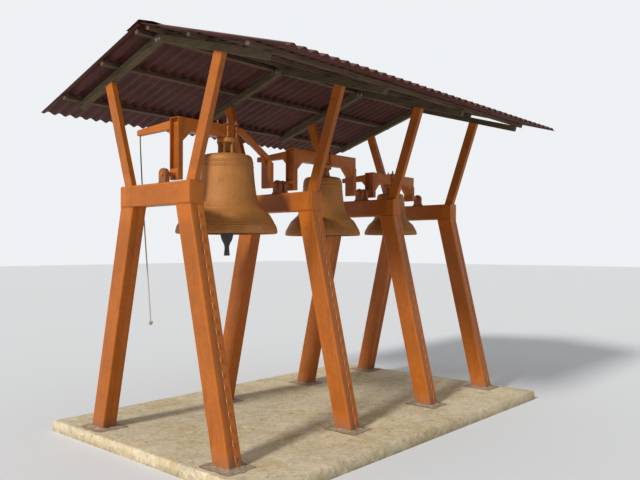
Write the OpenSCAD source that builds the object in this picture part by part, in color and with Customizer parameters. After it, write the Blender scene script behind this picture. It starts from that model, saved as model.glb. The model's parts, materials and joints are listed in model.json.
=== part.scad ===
// Steel bell tower: four trestles in a row carry three swinging bells under a low corrugated gable roof.
// X runs across the row, Y along the ridge (front trestle at -Y), Z up; millimetres.

/* [Foundation] */
// Width of the concrete pad across the row
pad_width = 2800; // [2200:10:3200]
// How far the pad stops short of the roof's verges at each end
pad_setback = 10; // [0:5:100]
// Height of the pad
pad_height = 100; // [60:5:200]

/* [Trestles] */
// Distance from the first trestle to the second
bay_1 = 1390; // [1250:5:1700]
// Distance from the second trestle to the third
bay_2 = 1285; // [1100:5:1600]
// Distance from the third trestle to the fourth
bay_3 = 1165; // [950:5:1500]
// Width over both feet of a trestle at the pad
foot_spread = 1880; // [1500:10:2300]
// Length of a cross beam, and width over both legs at their heads
beam_length = 960; // [800:10:1100]
// Width of a leg, seen from the front
leg_width = 180; // [140:5:220]
// Depth of legs and cross beams along the row
frame_depth = 140; // [120:5:200]
// Height of the legs, from the pad to the cross beam
leg_height = 1950; // [1700:10:2400]
// Height of a cross beam
beam_height = 180; // [140:5:240]

/* [Roof frame] */
// Width of an arm, seen from the front
arm_width = 100; // [70:5:120]
// Depth of an arm along the row
arm_depth = 50; // [40:5:70]
// Thickness of an arm's web
arm_web = 6; // [4:1:10]
// Thickness of an arm's flanges
arm_flange = 9; // [6:1:12]
// Outward lean of the arms in degrees
arm_lean = 19.3; // [12:0.1:25]
// Height from the cross beams to the rafters' underside at the ridge
rafter_rise = 1170; // [1000:10:1300]
// Slope of the roof in degrees
roof_pitch = 17; // [12:0.5:22]
// Height of a rafter, square to its slope
rafter_height = 60; // [50:5:110]
// Thickness of a rafter along the row
rafter_thickness = 60; // [40:5:80]
// Distance from the ridge line to the upper corner of the rafters' square-cut tails
rafter_reach = 1280; // [1150:10:1500]
// Open joint between the two rafters of a pair
rafter_joint = 1; // [0.5:0.5:4]
// Width of a batten
batten_width = 40; // [30:5:80]
// Thickness of a batten
batten_height = 36; // [30:1:50]
// Distance from the ridge line to the ridge battens' middle
ridge_batten_at = 75; // [60:5:150]
// Distance from the ridge line to the middle battens' middle
middle_batten_at = 600; // [500:10:800]
// Distance from the ridge line to the eave battens' middle
eave_batten_at = 1250; // [900:10:1260]
// How far the battens stop short of the verges
batten_setback = 30; // [10:5:80]

/* [Roof covering] */
// Overhang of the roof beyond the end trestles
verge_overhang = 140; // [80:10:400]
// Distance from the ridge line to an eave
eave_reach = 1640; // [1500:10:1900]
// Open joint between the two sheets at the ridge, from the ridge line to each
sheet_joint = 12; // [5:1:30]
// Corrugation pitch
wave_pitch = 111; // [76:1:180]
// Corrugation height, from valley to crest
wave_height = 27; // [15:1:40]
// Thickness of the sheet
sheet_thickness = 2; // [1.5:0.5:4]
// Width of the ridge cap's wings
cap_wing = 190; // [120:10:260]
// Thickness of the ridge cap
cap_thickness = 2; // [1.5:0.5:4]

/* [Bearings and gudgeons] */
// Height of the swing axis over the cross beams
axis_height = 85; // [75:5:110]
// Distance from a cross beam's face to the middle of the bearing on that side
bearing_inset = 35; // [30:1:40]
// Length of a bearing along the row
bearing_length = 50; // [30:2:50]
// Outer radius of a bearing's round housing
housing_radius = 46; // [40:1:55]
// Width of a bearing's foot plate
foot_width = 120; // [112:2:220]
// Thickness of a bearing's foot plate
foot_thickness = 14; // [8:1:20]
// Radius of a gudgeon
gudgeon_radius = 20; // [14:1:26]
// Running clearance between gudgeon and housing
running_gap = 0.3; // [0.2:0.1:0.8]
// How far a gudgeon's end stands out of its bearing
gudgeon_stand = 4; // [2:1:6]
// Height of the block in the foot of a yoke post
shoe_height = 93; // [70:1:110]
// How far the yoke posts reach below the swing axis
shoe_drop = 40; // [34:1:50]

/* [Yokes] */
// Width of a yoke's box beam across the row
yoke_width = 110; // [80:5:116]
// Width of a yoke's channel posts across the row
post_width = 120; // [116:2:140]
// Depth of a yoke's channel posts along the row
post_depth = 48; // [44:2:70]
// Thickness of the posts' web and flanges
post_wall = 7; // [5:1:10]
// Distance from a yoke's near post to the cross beam before it
near_gap = 65; // [40:5:100]
// Distance from the first yoke's far post to the cross beam behind it
far_gap_1 = 80; // [40:5:140]
// Distance from the second yoke's far post to the cross beam behind it
far_gap_2 = 100; // [40:5:140]
// Distance from the third yoke's far post to the cross beam behind it
far_gap_3 = 130; // [40:5:140]
// How far the first bell hangs behind the middle of its yoke
bell_shift = 25; // [0:5:60]
// Height of the first yoke's top over the cross beams
yoke_top_1 = 570; // [540:10:640]
// Height of the second yoke's top over the cross beams
yoke_top_2 = 460; // [430:10:560]
// Height of the third yoke's top over the cross beams
yoke_top_3 = 330; // [300:10:440]
// Height of the first yoke's beam
yoke_height_1 = 110; // [90:5:140]
// Height of the second yoke's beam
yoke_height_2 = 120; // [90:5:150]
// Height of the third yoke's beam
yoke_height_3 = 120; // [90:5:140]
// Side of the knees in the yokes' inner corners
knee_side = 95; // [40:5:110]
// Length of the slender arm that carries the first yoke's beam on to its far post
shoulder_reach = 435; // [400:5:470]
// Length of that arm's sloping part
shoulder_run = 355; // [300:5:380]
// Fall of the sloping part
shoulder_fall = 230; // [180:10:250]
// Side of the slender arm's square section
shoulder_size = 50; // [40:5:70]
// Side of the plate between that arm and the far post
shoulder_plate = 60; // [40:5:80]

/* [Levers and rope] */
// Reach of the first lever's end from the swing axis
lever_reach_1 = 550; // [400:10:700]
// Reach of the second lever's end
lever_reach_2 = 480; // [350:10:600]
// Reach of the third lever's end
lever_reach_3 = 400; // [300:10:520]
// Height of a lever at its root
lever_root = 75; // [60:5:90]
// Height of a lever at its end
lever_tip = 50; // [40:5:60]
// Thickness of a lever along the row
lever_thickness = 46; // [36:2:46]
// Side of the plate under a lever's root
lever_knee = 60; // [30:5:80]
// Thickness of that plate
knee_plate = 10; // [6:1:14]
// How far a lever's axis lies below the yoke's top
lever_drop = 58; // [50:2:80]
// Fall of a lever from root to end, in degrees
lever_fall = 2; // [0:0.5:6]
// Diameter of the bell rope
rope_diameter = 12; // [8:1:16]

/* [Bells] */
// Radius of the first bell's mouth
mouth_radius_1 = 455; // [380:5:480]
// Radius of the second bell's mouth
mouth_radius_2 = 390; // [320:5:420]
// Radius of the third bell's mouth
mouth_radius_3 = 308; // [250:2:340]
// Height of the first bell's crown, from its head to the yoke
crown_1 = 150; // [120:5:170]
// Height of the second bell's crown
crown_2 = 130; // [100:5:150]
// Height of the third bell's crown
crown_3 = 100; // [80:5:130]
// Thickness of the disc on top of a crown
disc_height = 46; // [24:2:50]
// Radius of that disc
disc_radius = 92; // [88:1:100]

/* [Hangers] */
// Radius of a hanger rod
rod_radius = 8; // [6:0.5:10]
// Clearance between the rods and the yoke
rod_clearance = 4; // [2:1:10]
// Distance between the two hangers along the row
hanger_spacing = 100; // [80:2:100]
// How far the rods stand over the yoke
rod_stand = 60; // [40:5:90]
// Thickness of a hanger's top plate
strap_thickness = 8; // [6:1:12]
// Width of a hanger's top plate
strap_width = 44; // [34:2:50]

/* [Clappers] */
// Share of the mouth radius that a clapper's eye is wide, each way
eye_share = 0.04; // [0.03:0.005:0.045]
// Thickness of the lugs that hold a clapper's pin
lug_thickness = 12; // [8:1:16]
// Side play of a clapper's eye between its lugs
eye_play = 0.8; // [0.4:0.2:2]
// Radius of a clapper's eye
eye_radius = 22; // [18:1:26]
// Radius of the pin that a clapper hangs on
pin_radius = 9; // [7:0.5:11]

/* [Hidden] */
$fn = 64;
row_length = bay_1 + bay_2 + bay_3 + frame_depth;
row_front = -row_length / 2;
roof_length = row_length + 2 * verge_overhang;
trestle_y = [row_front, row_front + bay_1, row_front + bay_1 + bay_2, row_front + bay_1 + bay_2 + bay_3];
leg_top = pad_height + leg_height;
beam_top = leg_top + beam_height;
leg_lean = atan2((foot_spread - beam_length) / 2, leg_height);
leg_cut = leg_width / cos(leg_lean);
pitch_tan = tan(roof_pitch);
lean_tan = tan(arm_lean);
rafter_z = beam_top + rafter_rise;
rafter_cut = rafter_height / cos(roof_pitch);
seat = 0.05;
batten_cut = batten_height / cos(roof_pitch);
sheet_z = rafter_z + rafter_cut + batten_cut + 2 * seat;
arm_y = (frame_depth - arm_depth) / 2;
rafter_y = (frame_depth - rafter_thickness) / 2;

axis_z = beam_top + axis_height;
mouth = [mouth_radius_1, mouth_radius_2, mouth_radius_3];
crown = [crown_1, crown_2, crown_3];
yoke_top = [beam_top + yoke_top_1, beam_top + yoke_top_2, beam_top + yoke_top_3];
yoke_height = [yoke_height_1, yoke_height_2, yoke_height_3];
yoke_base = [for (k = [0:2]) yoke_top[k] - yoke_height[k]];
head_z = [for (k = [0:2]) yoke_base[k] - crown[k]];
bell_height = 1.56;
lip_z = [for (k = [0:2]) head_z[k] - bell_height * mouth[k]];
far_gap = [far_gap_1, far_gap_2, far_gap_3];
near_y = [for (k = [0:2]) trestle_y[k] + frame_depth + near_gap];
far_y = [for (k = [0:2]) trestle_y[k + 1] - far_gap[k]];
bell_y = [for (k = [0:2]) (near_y[k] + far_y[k]) / 2 + (k == 0 ? bell_shift : 0)];
lever_reach = [lever_reach_1, lever_reach_2, lever_reach_3];
pivot_z = [for (k = [0:2]) lip_z[k] + 1.36 * mouth[k]];

// Bell profile in shares of the mouth radius: radius, height over the lip
outer_wall = [
    [0.955, 0], [0.985, 0.008], [1, 0.035], [0.99, 0.09], [0.965, 0.16], [0.936, 0.22], [0.893, 0.3],
    [0.84, 0.385], [0.76, 0.455], [0.688, 0.527], [0.635, 0.61], [0.6, 0.7], [0.575, 0.82],
    [0.557, 0.956], [0.542, 1.1], [0.529, 1.24], [0.512, 1.42], [0.498, 1.49], [0.468, 1.532],
    [0.41, 1.553], [0.33, 1.56], [0, 1.56]];
inner_wall = [
    [0, 1.49], [0.3, 1.49], [0.38, 1.475], [0.43, 1.43], [0.452, 1.36], [0.466, 1.24], [0.482, 1.1],
    [0.497, 0.956], [0.512, 0.82], [0.533, 0.7], [0.565, 0.6], [0.61, 0.51], [0.68, 0.41],
    [0.75, 0.31], [0.8, 0.22], [0.838, 0.14], [0.885, 0.05], [0.92, 0.012]];

// Line of a lever's underside, from its root to its end
lever_root_x = post_width / 2;
function lever_axis(k, x) = yoke_top[k] - lever_drop - (x - lever_root_x) * tan(lever_fall);
function lever_half(k, x) = (lever_root + (lever_tip - lever_root) * (x - lever_root_x)
    / (lever_reach[k] - lever_root_x)) / 2;

// The slender arm at the first yoke's far end
shoulder_start = far_y[0] - shoulder_reach;
shoulder_y = far_y[0] - shoulder_run;
shoulder_slope = shoulder_fall / shoulder_run;
shoulder_cut = shoulder_size / cos(atan(shoulder_slope));
shoulder_knee = shoulder_y - (shoulder_cut - shoulder_size) / shoulder_slope;
function shoulder_top(y) = yoke_top[0] - (y - shoulder_y) * shoulder_slope;
function shoulder_base(y) = shoulder_top(y) - shoulder_cut;

// Rope route: steps to the side and down, from under the first lever's end to the knot
rope_inset = 20;
rope_x = lever_reach[0] - rope_inset;
rope_y = near_y[0] + post_depth / 2;
rope_z = lever_axis(0, rope_x) - lever_half(0, rope_x) - 0.1;
rope_route = [[0, 0], [0, -60], [8, -170], [24, -360], [50, -640], [80, -900],
    [110, -1150], [138, -1380], [158, -1560], [168, -1660]];

PAINT = [0.66, 0.33, 0.12];
ROUGH = [0.45, 0.36, 0.28];
BRONZE = [0.55, 0.42, 0.24];
IRON = [0.2, 0.19, 0.18];
SHEET = [0.25, 0.11, 0.08];
STONE = [0.62, 0.59, 0.55];
CORD = [0.8, 0.78, 0.72];

// Height of the rafters' underside at a distance from the ridge line
function under(x) = rafter_z - pitch_tan * abs(x);

// Outer and inner line of an arm at their heads, below the rafter: x where the arm meets it
function arm_head(x0) = let (z = (rafter_z - pitch_tan * x0 + pitch_tan * lean_tan * beam_top)
    / (1 + pitch_tan * lean_tan)) [x0 + lean_tan * (z - beam_top), z];

// A shape drawn in X and Z, given a depth along Y from y0
module along_row(y0, depth) {
    translate([0, y0 + depth, 0]) rotate([90, 0, 0]) linear_extrude(depth) children();
}

// A shape drawn in Y and Z, given a width across the row from x0
module across_row(x0, width) {
    translate([x0, 0, 0]) rotate([90, 0, 90]) linear_extrude(width) children();
}

// Ground and trestles
module foundation_slab() {
    color(STONE) translate([-pad_width / 2, -roof_length / 2 + pad_setback, 0])
        cube([pad_width, roof_length - 2 * pad_setback, pad_height]);
}

module leg(k, side) {
    foot = foot_spread / 2;
    head = beam_length / 2;
    color(PAINT) along_row(trestle_y[k], frame_depth) polygon([
        [side * foot, pad_height], [side * (foot - leg_cut), pad_height],
        [side * (head - leg_cut), leg_top], [side * head, leg_top]]);
}

module cross_beam(k) {
    color(PAINT) translate([-beam_length / 2, trestle_y[k], leg_top])
        cube([beam_length, frame_depth, beam_height]);
}

// Outline of an arm between two distances from its outer edge, from the beam up to the rafter
module arm_strip(side, from, to) {
    outer = beam_length / 2 - from / cos(arm_lean);
    inner = beam_length / 2 - to / cos(arm_lean);
    a = arm_head(outer);
    b = arm_head(inner);
    polygon([[side * outer, beam_top], [side * inner, beam_top], [side * b[0], b[1]], [side * a[0], a[1]]]);
}

// Channel arms, with the web to the front
module arms(k) {
    y = trestle_y[k] + arm_y;
    color(PAINT) for (side = [-1, 1]) {
        along_row(y, arm_web) arm_strip(side, 0, arm_width);
        along_row(y, arm_depth) arm_strip(side, 0, arm_flange);
        along_row(y, arm_depth) arm_strip(side, arm_width - arm_flange, arm_width);
    }
}

// Roof frame
module rafter_pair(k) {
    near = rafter_joint / 2;
    low = rafter_reach - rafter_height * sin(roof_pitch);
    color(ROUGH) for (side = [-1, 1]) along_row(trestle_y[k] + rafter_y, rafter_thickness) polygon([
        [side * near, under(near)], [side * low, under(low)],
        [side * rafter_reach, under(rafter_reach) + rafter_cut], [side * near, under(near) + rafter_cut]]);
}

module batten(at, side) {
    length = roof_length - 2 * batten_setback;
    color(ROUGH) translate([side * at, -length / 2, under(at) + rafter_cut + seat])
        rotate([0, side * roof_pitch, 0]) translate([-batten_width / 2, 0, 0])
            cube([batten_width, length, batten_height]);
}

module ridge_battens() {
    for (side = [-1, 1]) batten(ridge_batten_at, side);
}

// Roof covering
wave_steps = 8 * round(roof_length / wave_pitch);
function wave(i, lift) = let (y = -roof_length / 2 + i * roof_length / wave_steps)
    [y, lift + wave_height / 2 * (1 - cos(360 * y / wave_pitch))];

module roof_sheet(side) {
    run = (eave_reach - sheet_joint) / cos(roof_pitch);
    top = [for (i = [0:wave_steps]) wave(i, sheet_thickness)];
    bottom = [for (i = [wave_steps:-1:0]) wave(i, 0)];
    color(SHEET) translate([side * sheet_joint, 0, sheet_z - pitch_tan * sheet_joint])
        rotate([0, side * roof_pitch, 0]) across_row(side > 0 ? 0 : -run, run)
            polygon(concat(top, bottom));
}

module ridge_cap() {
    t = cap_thickness / cos(roof_pitch);
    z = sheet_z + (wave_height + sheet_thickness) / cos(roof_pitch);
    w = cap_wing * cos(roof_pitch);
    fall = pitch_tan * w;
    color(SHEET) along_row(-roof_length / 2, roof_length) polygon([
        [-w, z - fall], [0, z], [w, z - fall], [w, z - fall + t], [0, z + t], [-w, z - fall + t]]);
}

// Bearings on the cross beams
module bearing(y) {
    color(IRON) translate([0, y - bearing_length / 2, beam_top]) difference() {
        union() {
            translate([-foot_width / 2, 0, 0]) cube([foot_width, bearing_length, foot_thickness]);
            translate([-housing_radius, 0, 0]) cube([2 * housing_radius, bearing_length, axis_height]);
            translate([0, bearing_length, axis_height]) rotate([90, 0, 0])
                cylinder(r = housing_radius, h = bearing_length);
        }
        translate([0, bearing_length + 1, axis_height]) rotate([90, 0, 0])
            cylinder(r = gudgeon_radius + running_gap, h = bearing_length + 2);
    }
}

module bearings(k) {
    if (k < 3) bearing(trestle_y[k] + frame_depth - bearing_inset);
    if (k > 0) bearing(trestle_y[k] + bearing_inset);
}

// Yokes
module yoke_beam(k) {
    a = near_y[k] + post_depth;
    b = far_y[k];
    c = b - post_depth;
    t = yoke_top[k];
    z = yoke_base[k];
    s = shoulder_start;
    color(PAINT) {
        across_row(-yoke_width / 2, yoke_width)
            if (k == 0) polygon([[a, t], [s, t], [s, z], [a + knee_side, z], [a, z - knee_side]]);
            else polygon([[a, t], [b, t], [b, z], [c, z], [c, z - knee_side], [c - knee_side, z],
                [a + knee_side, z], [a, z - knee_side]]);
        if (k == 0) slender_arm(c);
    }
}

// Slender arm: level, then sloping over the far post, with a plate in the corner below it
module slender_arm(c) {
    t = yoke_top[0];
    b = far_y[0];
    e = c - 1.4 * shoulder_plate;
    across_row(-shoulder_size / 2, shoulder_size) polygon([[shoulder_start - 1, t], [shoulder_y, t],
        [b, shoulder_top(b)], [b, shoulder_base(b)], [shoulder_knee, t - shoulder_size],
        [shoulder_start - 1, t - shoulder_size]]);
    across_row(-knee_plate / 2, knee_plate) polygon([[c, shoulder_base(c) + 1], [e, shoulder_base(e) + 1],
        [c, shoulder_base(c) - shoulder_plate]]);
}

// Side view of a post from y to y + depth: its foot, and the head under the yoke's beam or beside it
module post_side(k, y, depth, near) {
    foot = axis_z - shoe_drop;
    if (near) translate([y, foot]) square([depth, yoke_top[k] - foot]);
    else if (k == 0)
        polygon([[y, foot], [y + depth, foot],
            [y + depth, shoulder_base(y + depth) - seat], [y, shoulder_base(y) - seat]]);
    else translate([y, foot]) square([depth, yoke_base[k] - foot]);
}

// Channel posts, with the web towards the bell
module yoke_posts(k) {
    a = near_y[k];
    c = far_y[k] - post_depth;
    half = post_width / 2;
    color(PAINT) {
        across_row(-half, post_width) post_side(k, a + post_depth - post_wall, post_wall, true);
        across_row(-half, post_width) post_side(k, c, post_wall, false);
        for (x = [-half, half - post_wall]) {
            across_row(x, post_wall) post_side(k, a, post_depth, true);
            across_row(x, post_wall) post_side(k, c, post_depth, false);
        }
    }
}

// Gudgeons, each with the block that fills the foot of its post
module gudgeons(k) {
    out = bearing_inset + bearing_length / 2 + gudgeon_stand;
    inner = post_width - 2 * post_wall;
    depth = post_depth - post_wall;
    color(IRON) {
        for (y = [near_y[k], far_y[k] - depth]) translate([-inner / 2, y, axis_z - shoe_drop])
            cube([inner, depth, shoe_height]);
        translate([0, near_y[k] + 1, axis_z]) rotate([90, 0, 0])
            cylinder(r = gudgeon_radius, h = near_gap + out + 1);
        translate([0, far_y[k] + far_gap[k] + out, axis_z]) rotate([90, 0, 0])
            cylinder(r = gudgeon_radius, h = far_gap[k] + out + 1);
    }
}

// Height of a lever's underside
function lever_base(k, x) = lever_axis(k, x) - lever_half(k, x);

// Levers: a tapered bar from the near post's left flange, with a plate under its root
module rope_lever(k) {
    root = lever_root_x;
    tip = lever_reach[k];
    end = root + lever_knee;
    color(PAINT) {
        along_row(near_y[k] + (post_depth - lever_thickness) / 2, lever_thickness) polygon([
            [-root, lever_base(k, root)], [-root, lever_axis(k, root) + lever_half(k, root)],
            [-tip, lever_axis(k, tip) + lever_half(k, tip)], [-tip, lever_base(k, tip)]]);
        along_row(near_y[k] + (post_depth - knee_plate) / 2, knee_plate) polygon([
            [-root, lever_base(k, root) + 1], [-end, lever_base(k, end) + 1],
            [-root, lever_base(k, root) - lever_knee]]);
    }
}

// Bells
module bell(k) {
    r = mouth[k];
    wall = concat(outer_wall, inner_wall);
    neck = crown[k] - disc_height;
    color(BRONZE) translate([0, bell_y[k], lip_z[k]]) {
        rotate_extrude() polygon([for (p = wall) [p[0] * r, p[1] * r]]);
        translate([0, 0, bell_height * r + neck]) cylinder(r = disc_radius, h = disc_height);
        translate([0, 0, bell_height * r - 1]) cylinder(r = 0.075 * r, h = neck + 2);
        for (a = [0:60:300]) rotate([0, 0, a]) canon(r, neck);
        for (y = [eye_share * r + eye_play + lug_thickness, -eye_share * r - eye_play])
            translate([0, y, 1.36 * r]) rotate([90, 0, 0]) staple(r);
    }
}

// One loop of the crown, from the disc's rim down to the bell's head
module canon(r, neck) {
    w = 0.036 * r;
    translate([0, w, bell_height * r]) rotate([90, 0, 0]) linear_extrude(2 * w) polygon([
        [0.125 * r, -1], [0.195 * r, -1], [0.178 * r, neck * 0.25], [0.178 * r, neck * 0.7],
        [0.195 * r, neck + 1], [0.12 * r, neck + 1], [0.115 * r, neck * 0.7], [0.115 * r, neck * 0.25]]);
}

// Lug inside the head that holds the clapper's pin
module staple(r) {
    linear_extrude(lug_thickness) difference() {
        union() {
            circle(r = eye_radius);
            translate([-eye_radius, 0]) square([2 * eye_radius, 0.135 * r]);
        }
        circle(r = pin_radius);
    }
}

// Clapper profile in shares of the mouth radius: radius, height under the pin
clapper_wall = [
    [0, -1.79], [0.058, -1.79], [0.056, -1.575], [0.066, -1.55], [0.104, -1.475], [0.128, -1.38],
    [0.139, -1.3], [0.139, -1.22], [0.124, -1.14], [0.092, -1.075], [0.05, -1.035], [0.034, -0.98], [0.027, -0.5]];

// Clapper: eye, rod, ball and tail, with the pin through the eye
module clapper(k) {
    r = mouth[k];
    eye = eye_share * r;
    pin = eye + eye_play + lug_thickness;
    inside = eye_radius / 3;
    color(IRON) translate([0, bell_y[k], pivot_z[k]]) {
        translate([0, eye, 0]) rotate([90, 0, 0]) cylinder(r = eye_radius, h = 2 * eye);
        translate([0, pin, 0]) rotate([90, 0, 0]) cylinder(r = pin_radius - running_gap, h = 2 * pin);
        rotate_extrude() polygon(concat([for (p = clapper_wall) [p[0] * r, p[1] * r]],
            [[0.026 * r, -inside], [0, -inside]]));
    }
}

// Hangers: two rods and a top plate each, over the yoke
module hangers(k) {
    x = yoke_width / 2 + rod_clearance + rod_radius;
    color(IRON) for (s = [-1, 1]) translate([0, bell_y[k] + s * hanger_spacing / 2, 0]) {
        translate([-x - 14, -strap_width / 2, yoke_top[k]]) cube([2 * x + 28, strap_width, strap_thickness]);
        for (side = [-1, 1]) translate([side * x, 0, yoke_base[k]])
            cylinder(r = rod_radius, h = yoke_height[k] + rod_stand);
    }
}

// Rope: one tube swept along its route
rope_points = [for (p = rope_route) [p[0] - rope_x, rope_y, rope_z + p[1]]];
function lerp3(a, b, t) = a + (b - a) * t;
function hermite(i, t) = let (n = len(rope_points), p0 = rope_points[max(i - 1, 0)], p1 = rope_points[i],
    p2 = rope_points[i + 1], p3 = rope_points[min(i + 2, n - 1)], m1 = (p2 - p0) / 2, m2 = (p3 - p1) / 2)
    (2 * pow(t, 3) - 3 * t * t + 1) * p1 + (pow(t, 3) - 2 * t * t + t) * m1
    + (3 * t * t - 2 * pow(t, 3)) * p2 + (pow(t, 3) - t * t) * m2;
rope_steps = 5;
rope_line = concat([for (i = [0:len(rope_points) - 2], j = [0:rope_steps - 1]) hermite(i, j / rope_steps)],
    [rope_points[len(rope_points) - 1]]);
rope_sides = 10;

function unit(v) = v / norm(v);
function heading(i) = let (n = len(rope_line)) unit(rope_line[min(i + 1, n - 1)] - rope_line[max(i - 1, 0)]);
function ring_at(i) = let (d = heading(i), u = unit(cross([0, 1, 0], d)), v = cross(d, u))
    [for (s = [0:rope_sides - 1]) rope_line[i]
        + rope_diameter / 2 * (cos(360 * s / rope_sides) * u + sin(360 * s / rope_sides) * v)];

module bell_rope() {
    n = len(rope_line);
    m = rope_sides;
    points = [for (i = [0:n - 1]) each ring_at(i)];
    sides = [for (i = [0:n - 2], s = [0:m - 1])
        [i * m + s, i * m + (s + 1) % m, (i + 1) * m + (s + 1) % m, (i + 1) * m + s]];
    ends = [[for (s = [m - 1:-1:0]) s], [for (s = [0:m - 1]) (n - 1) * m + s]];
    color(CORD) polyhedron(points, concat(sides, ends), convexity = 4);
}

foundation_slab();
leg(0, -1);  // trestle_1_left_leg
leg(0, 1);  // trestle_1_right_leg
leg(1, -1);  // trestle_2_left_leg
leg(1, 1);  // trestle_2_right_leg
leg(2, -1);  // trestle_3_left_leg
leg(2, 1);  // trestle_3_right_leg
leg(3, -1);  // trestle_4_left_leg
leg(3, 1);  // trestle_4_right_leg
cross_beam(0);  // trestle_1_beam
cross_beam(1);  // trestle_2_beam
cross_beam(2);  // trestle_3_beam
cross_beam(3);  // trestle_4_beam
arms(0);  // trestle_1_arms
arms(1);  // trestle_2_arms
arms(2);  // trestle_3_arms
arms(3);  // trestle_4_arms
rafter_pair(0);  // rafter_pair_1
rafter_pair(1);  // rafter_pair_2
rafter_pair(2);  // rafter_pair_3
rafter_pair(3);  // rafter_pair_4
ridge_battens();
batten(middle_batten_at, -1);  // middle_batten_left
batten(middle_batten_at, 1);  // middle_batten_right
batten(eave_batten_at, -1);  // eave_batten_left
batten(eave_batten_at, 1);  // eave_batten_right
roof_sheet(-1);  // roof_sheet_left
roof_sheet(1);  // roof_sheet_right
ridge_cap();
bearings(0);  // bearings_1
bearings(1);  // bearings_2
bearings(2);  // bearings_3
bearings(3);  // bearings_4
bell(0);  // bell_1
bell(1);  // bell_2
bell(2);  // bell_3
clapper(0);  // clapper_1
clapper(1);  // clapper_2
clapper(2);  // clapper_3
yoke_beam(0);  // yoke_beam_1
yoke_beam(1);  // yoke_beam_2
yoke_beam(2);  // yoke_beam_3
yoke_posts(0);  // yoke_posts_1
yoke_posts(1);  // yoke_posts_2
yoke_posts(2);  // yoke_posts_3
rope_lever(0);  // rope_lever_1
rope_lever(1);  // rope_lever_2
rope_lever(2);  // rope_lever_3
gudgeons(0);  // gudgeons_1
gudgeons(1);  // gudgeons_2
gudgeons(2);  // gudgeons_3
hangers(0);  // hangers_1
hangers(1);  // hangers_2
hangers(2);  // hangers_3
bell_rope();
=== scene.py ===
import json
import math

import bpy
import numpy as np
from bpy.props import FloatProperty, FloatVectorProperty, IntProperty, PointerProperty
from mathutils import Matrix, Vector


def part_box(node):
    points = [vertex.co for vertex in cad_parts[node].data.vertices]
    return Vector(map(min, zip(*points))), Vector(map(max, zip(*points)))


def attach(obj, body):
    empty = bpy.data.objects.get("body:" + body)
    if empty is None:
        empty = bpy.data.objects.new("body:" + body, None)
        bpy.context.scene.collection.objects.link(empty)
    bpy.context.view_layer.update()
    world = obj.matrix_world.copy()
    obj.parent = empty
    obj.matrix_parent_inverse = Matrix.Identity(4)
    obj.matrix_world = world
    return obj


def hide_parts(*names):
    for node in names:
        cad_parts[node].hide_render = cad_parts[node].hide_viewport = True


bl_info = {
    "name": "Steel bell tower",
    "version": (1, 0, 0),
    "blender": (4, 5, 0),
    "location": "View3D > Sidebar > Bell tower",
    "description": "Dresses the packed model of an open bell tower with three bells",
    "category": "Add Mesh",
}

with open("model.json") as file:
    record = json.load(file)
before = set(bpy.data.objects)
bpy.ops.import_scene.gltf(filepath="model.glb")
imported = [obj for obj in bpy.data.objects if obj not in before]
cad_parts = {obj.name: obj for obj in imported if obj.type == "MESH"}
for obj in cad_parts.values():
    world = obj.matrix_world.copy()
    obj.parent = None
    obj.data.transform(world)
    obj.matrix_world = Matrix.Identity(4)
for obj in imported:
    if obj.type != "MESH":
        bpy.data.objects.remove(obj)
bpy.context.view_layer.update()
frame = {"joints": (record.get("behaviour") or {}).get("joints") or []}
TRESTLES = (1, 2, 3, 4)
BELLS = (1, 2, 3)
SIDES = {"left": -1, "right": 1}
FRAME = "tower_frame"
ORIGIN = np.zeros(3)
X, Y, Z = np.eye(3)

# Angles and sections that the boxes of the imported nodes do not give, in metres
ROOF_PITCH, ARM_PITCH, LEVER_PITCH = math.radians(17), math.radians(19.3), math.radians(2)
ROOF_SLOPE, ROOF_COS, ROOF_SIN = math.tan(ROOF_PITCH), math.cos(ROOF_PITCH), math.sin(ROOF_PITCH)
ARM_LEAN, ARM_COS, LEVER_FALL = math.tan(ARM_PITCH), math.cos(ARM_PITCH), math.tan(LEVER_PITCH)
PAD_EDGE, PAD_DIP = 0.018, 0.0006
POCKET_ACROSS, POCKET_ALONG, POCKET_DEPTH, POCKET_POWER = 0.075, 0.070, 0.012, 14
ARM_WIDTH, ARM_WEB, ARM_FLANGE = 0.100, 0.006, 0.009
RAFTER_HEIGHT, BATTEN_WIDTH, BATTEN_HEIGHT = 0.060, 0.040, 0.036
RIDGE_BATTEN, MIDDLE_BATTEN, EAVE_BATTEN, TOP_SCREWS = 0.075, 0.60, 1.25, 0.15
SHEET_JOINT, WAVE_SHARE, CAP_THICK = 0.012, 0.96, 0.0012
POST_WIDTH, POST_DEPTH, POST_WALL, POST_CAP, KNEE = 0.120, 0.048, 0.007, 0.005, 0.095
BAR_REACH, BAR_RUN, BAR_FALL, BAR_SIZE, BAR_PLATE = 0.435, 0.355, 0.230, 0.050, 0.060
LEVER_THICK, LEVER_DROP, LEVER_ROOT, LEVER_TIP, GUSSET = 0.046, 0.058, 0.075, 0.050, 0.060
DISC_RADIUS, DISC_HEIGHT, DISC_EDGE, DISC_DRAFT = 0.092, 0.046, 0.009, 0.003
ROD_RADIUS, ROD_SPACING, ROD_EDGE, THREAD = 0.008, 0.100, 0.014, 0.0036
GUDGEON_RADIUS, GUDGEON_GAP, GUDGEON_BLOCK = 0.020, 0.0003, 0.093
BEARING_DEPTH, HOUSING_RADIUS, FOOT_WIDTH, FOOT_THICK = 0.050, 0.046, 0.120, 0.014
LUG_RADIUS, LUG_THICK, LUG_GAP = 0.022, 0.012, 0.0008
BOX_BEAD, BAR_BEAD, BLOCK_BEAD, THIN_BEAD = 0.004, 0.0035, 0.0032, 0.003

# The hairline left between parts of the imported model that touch
SEAT = 0.00005

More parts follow.
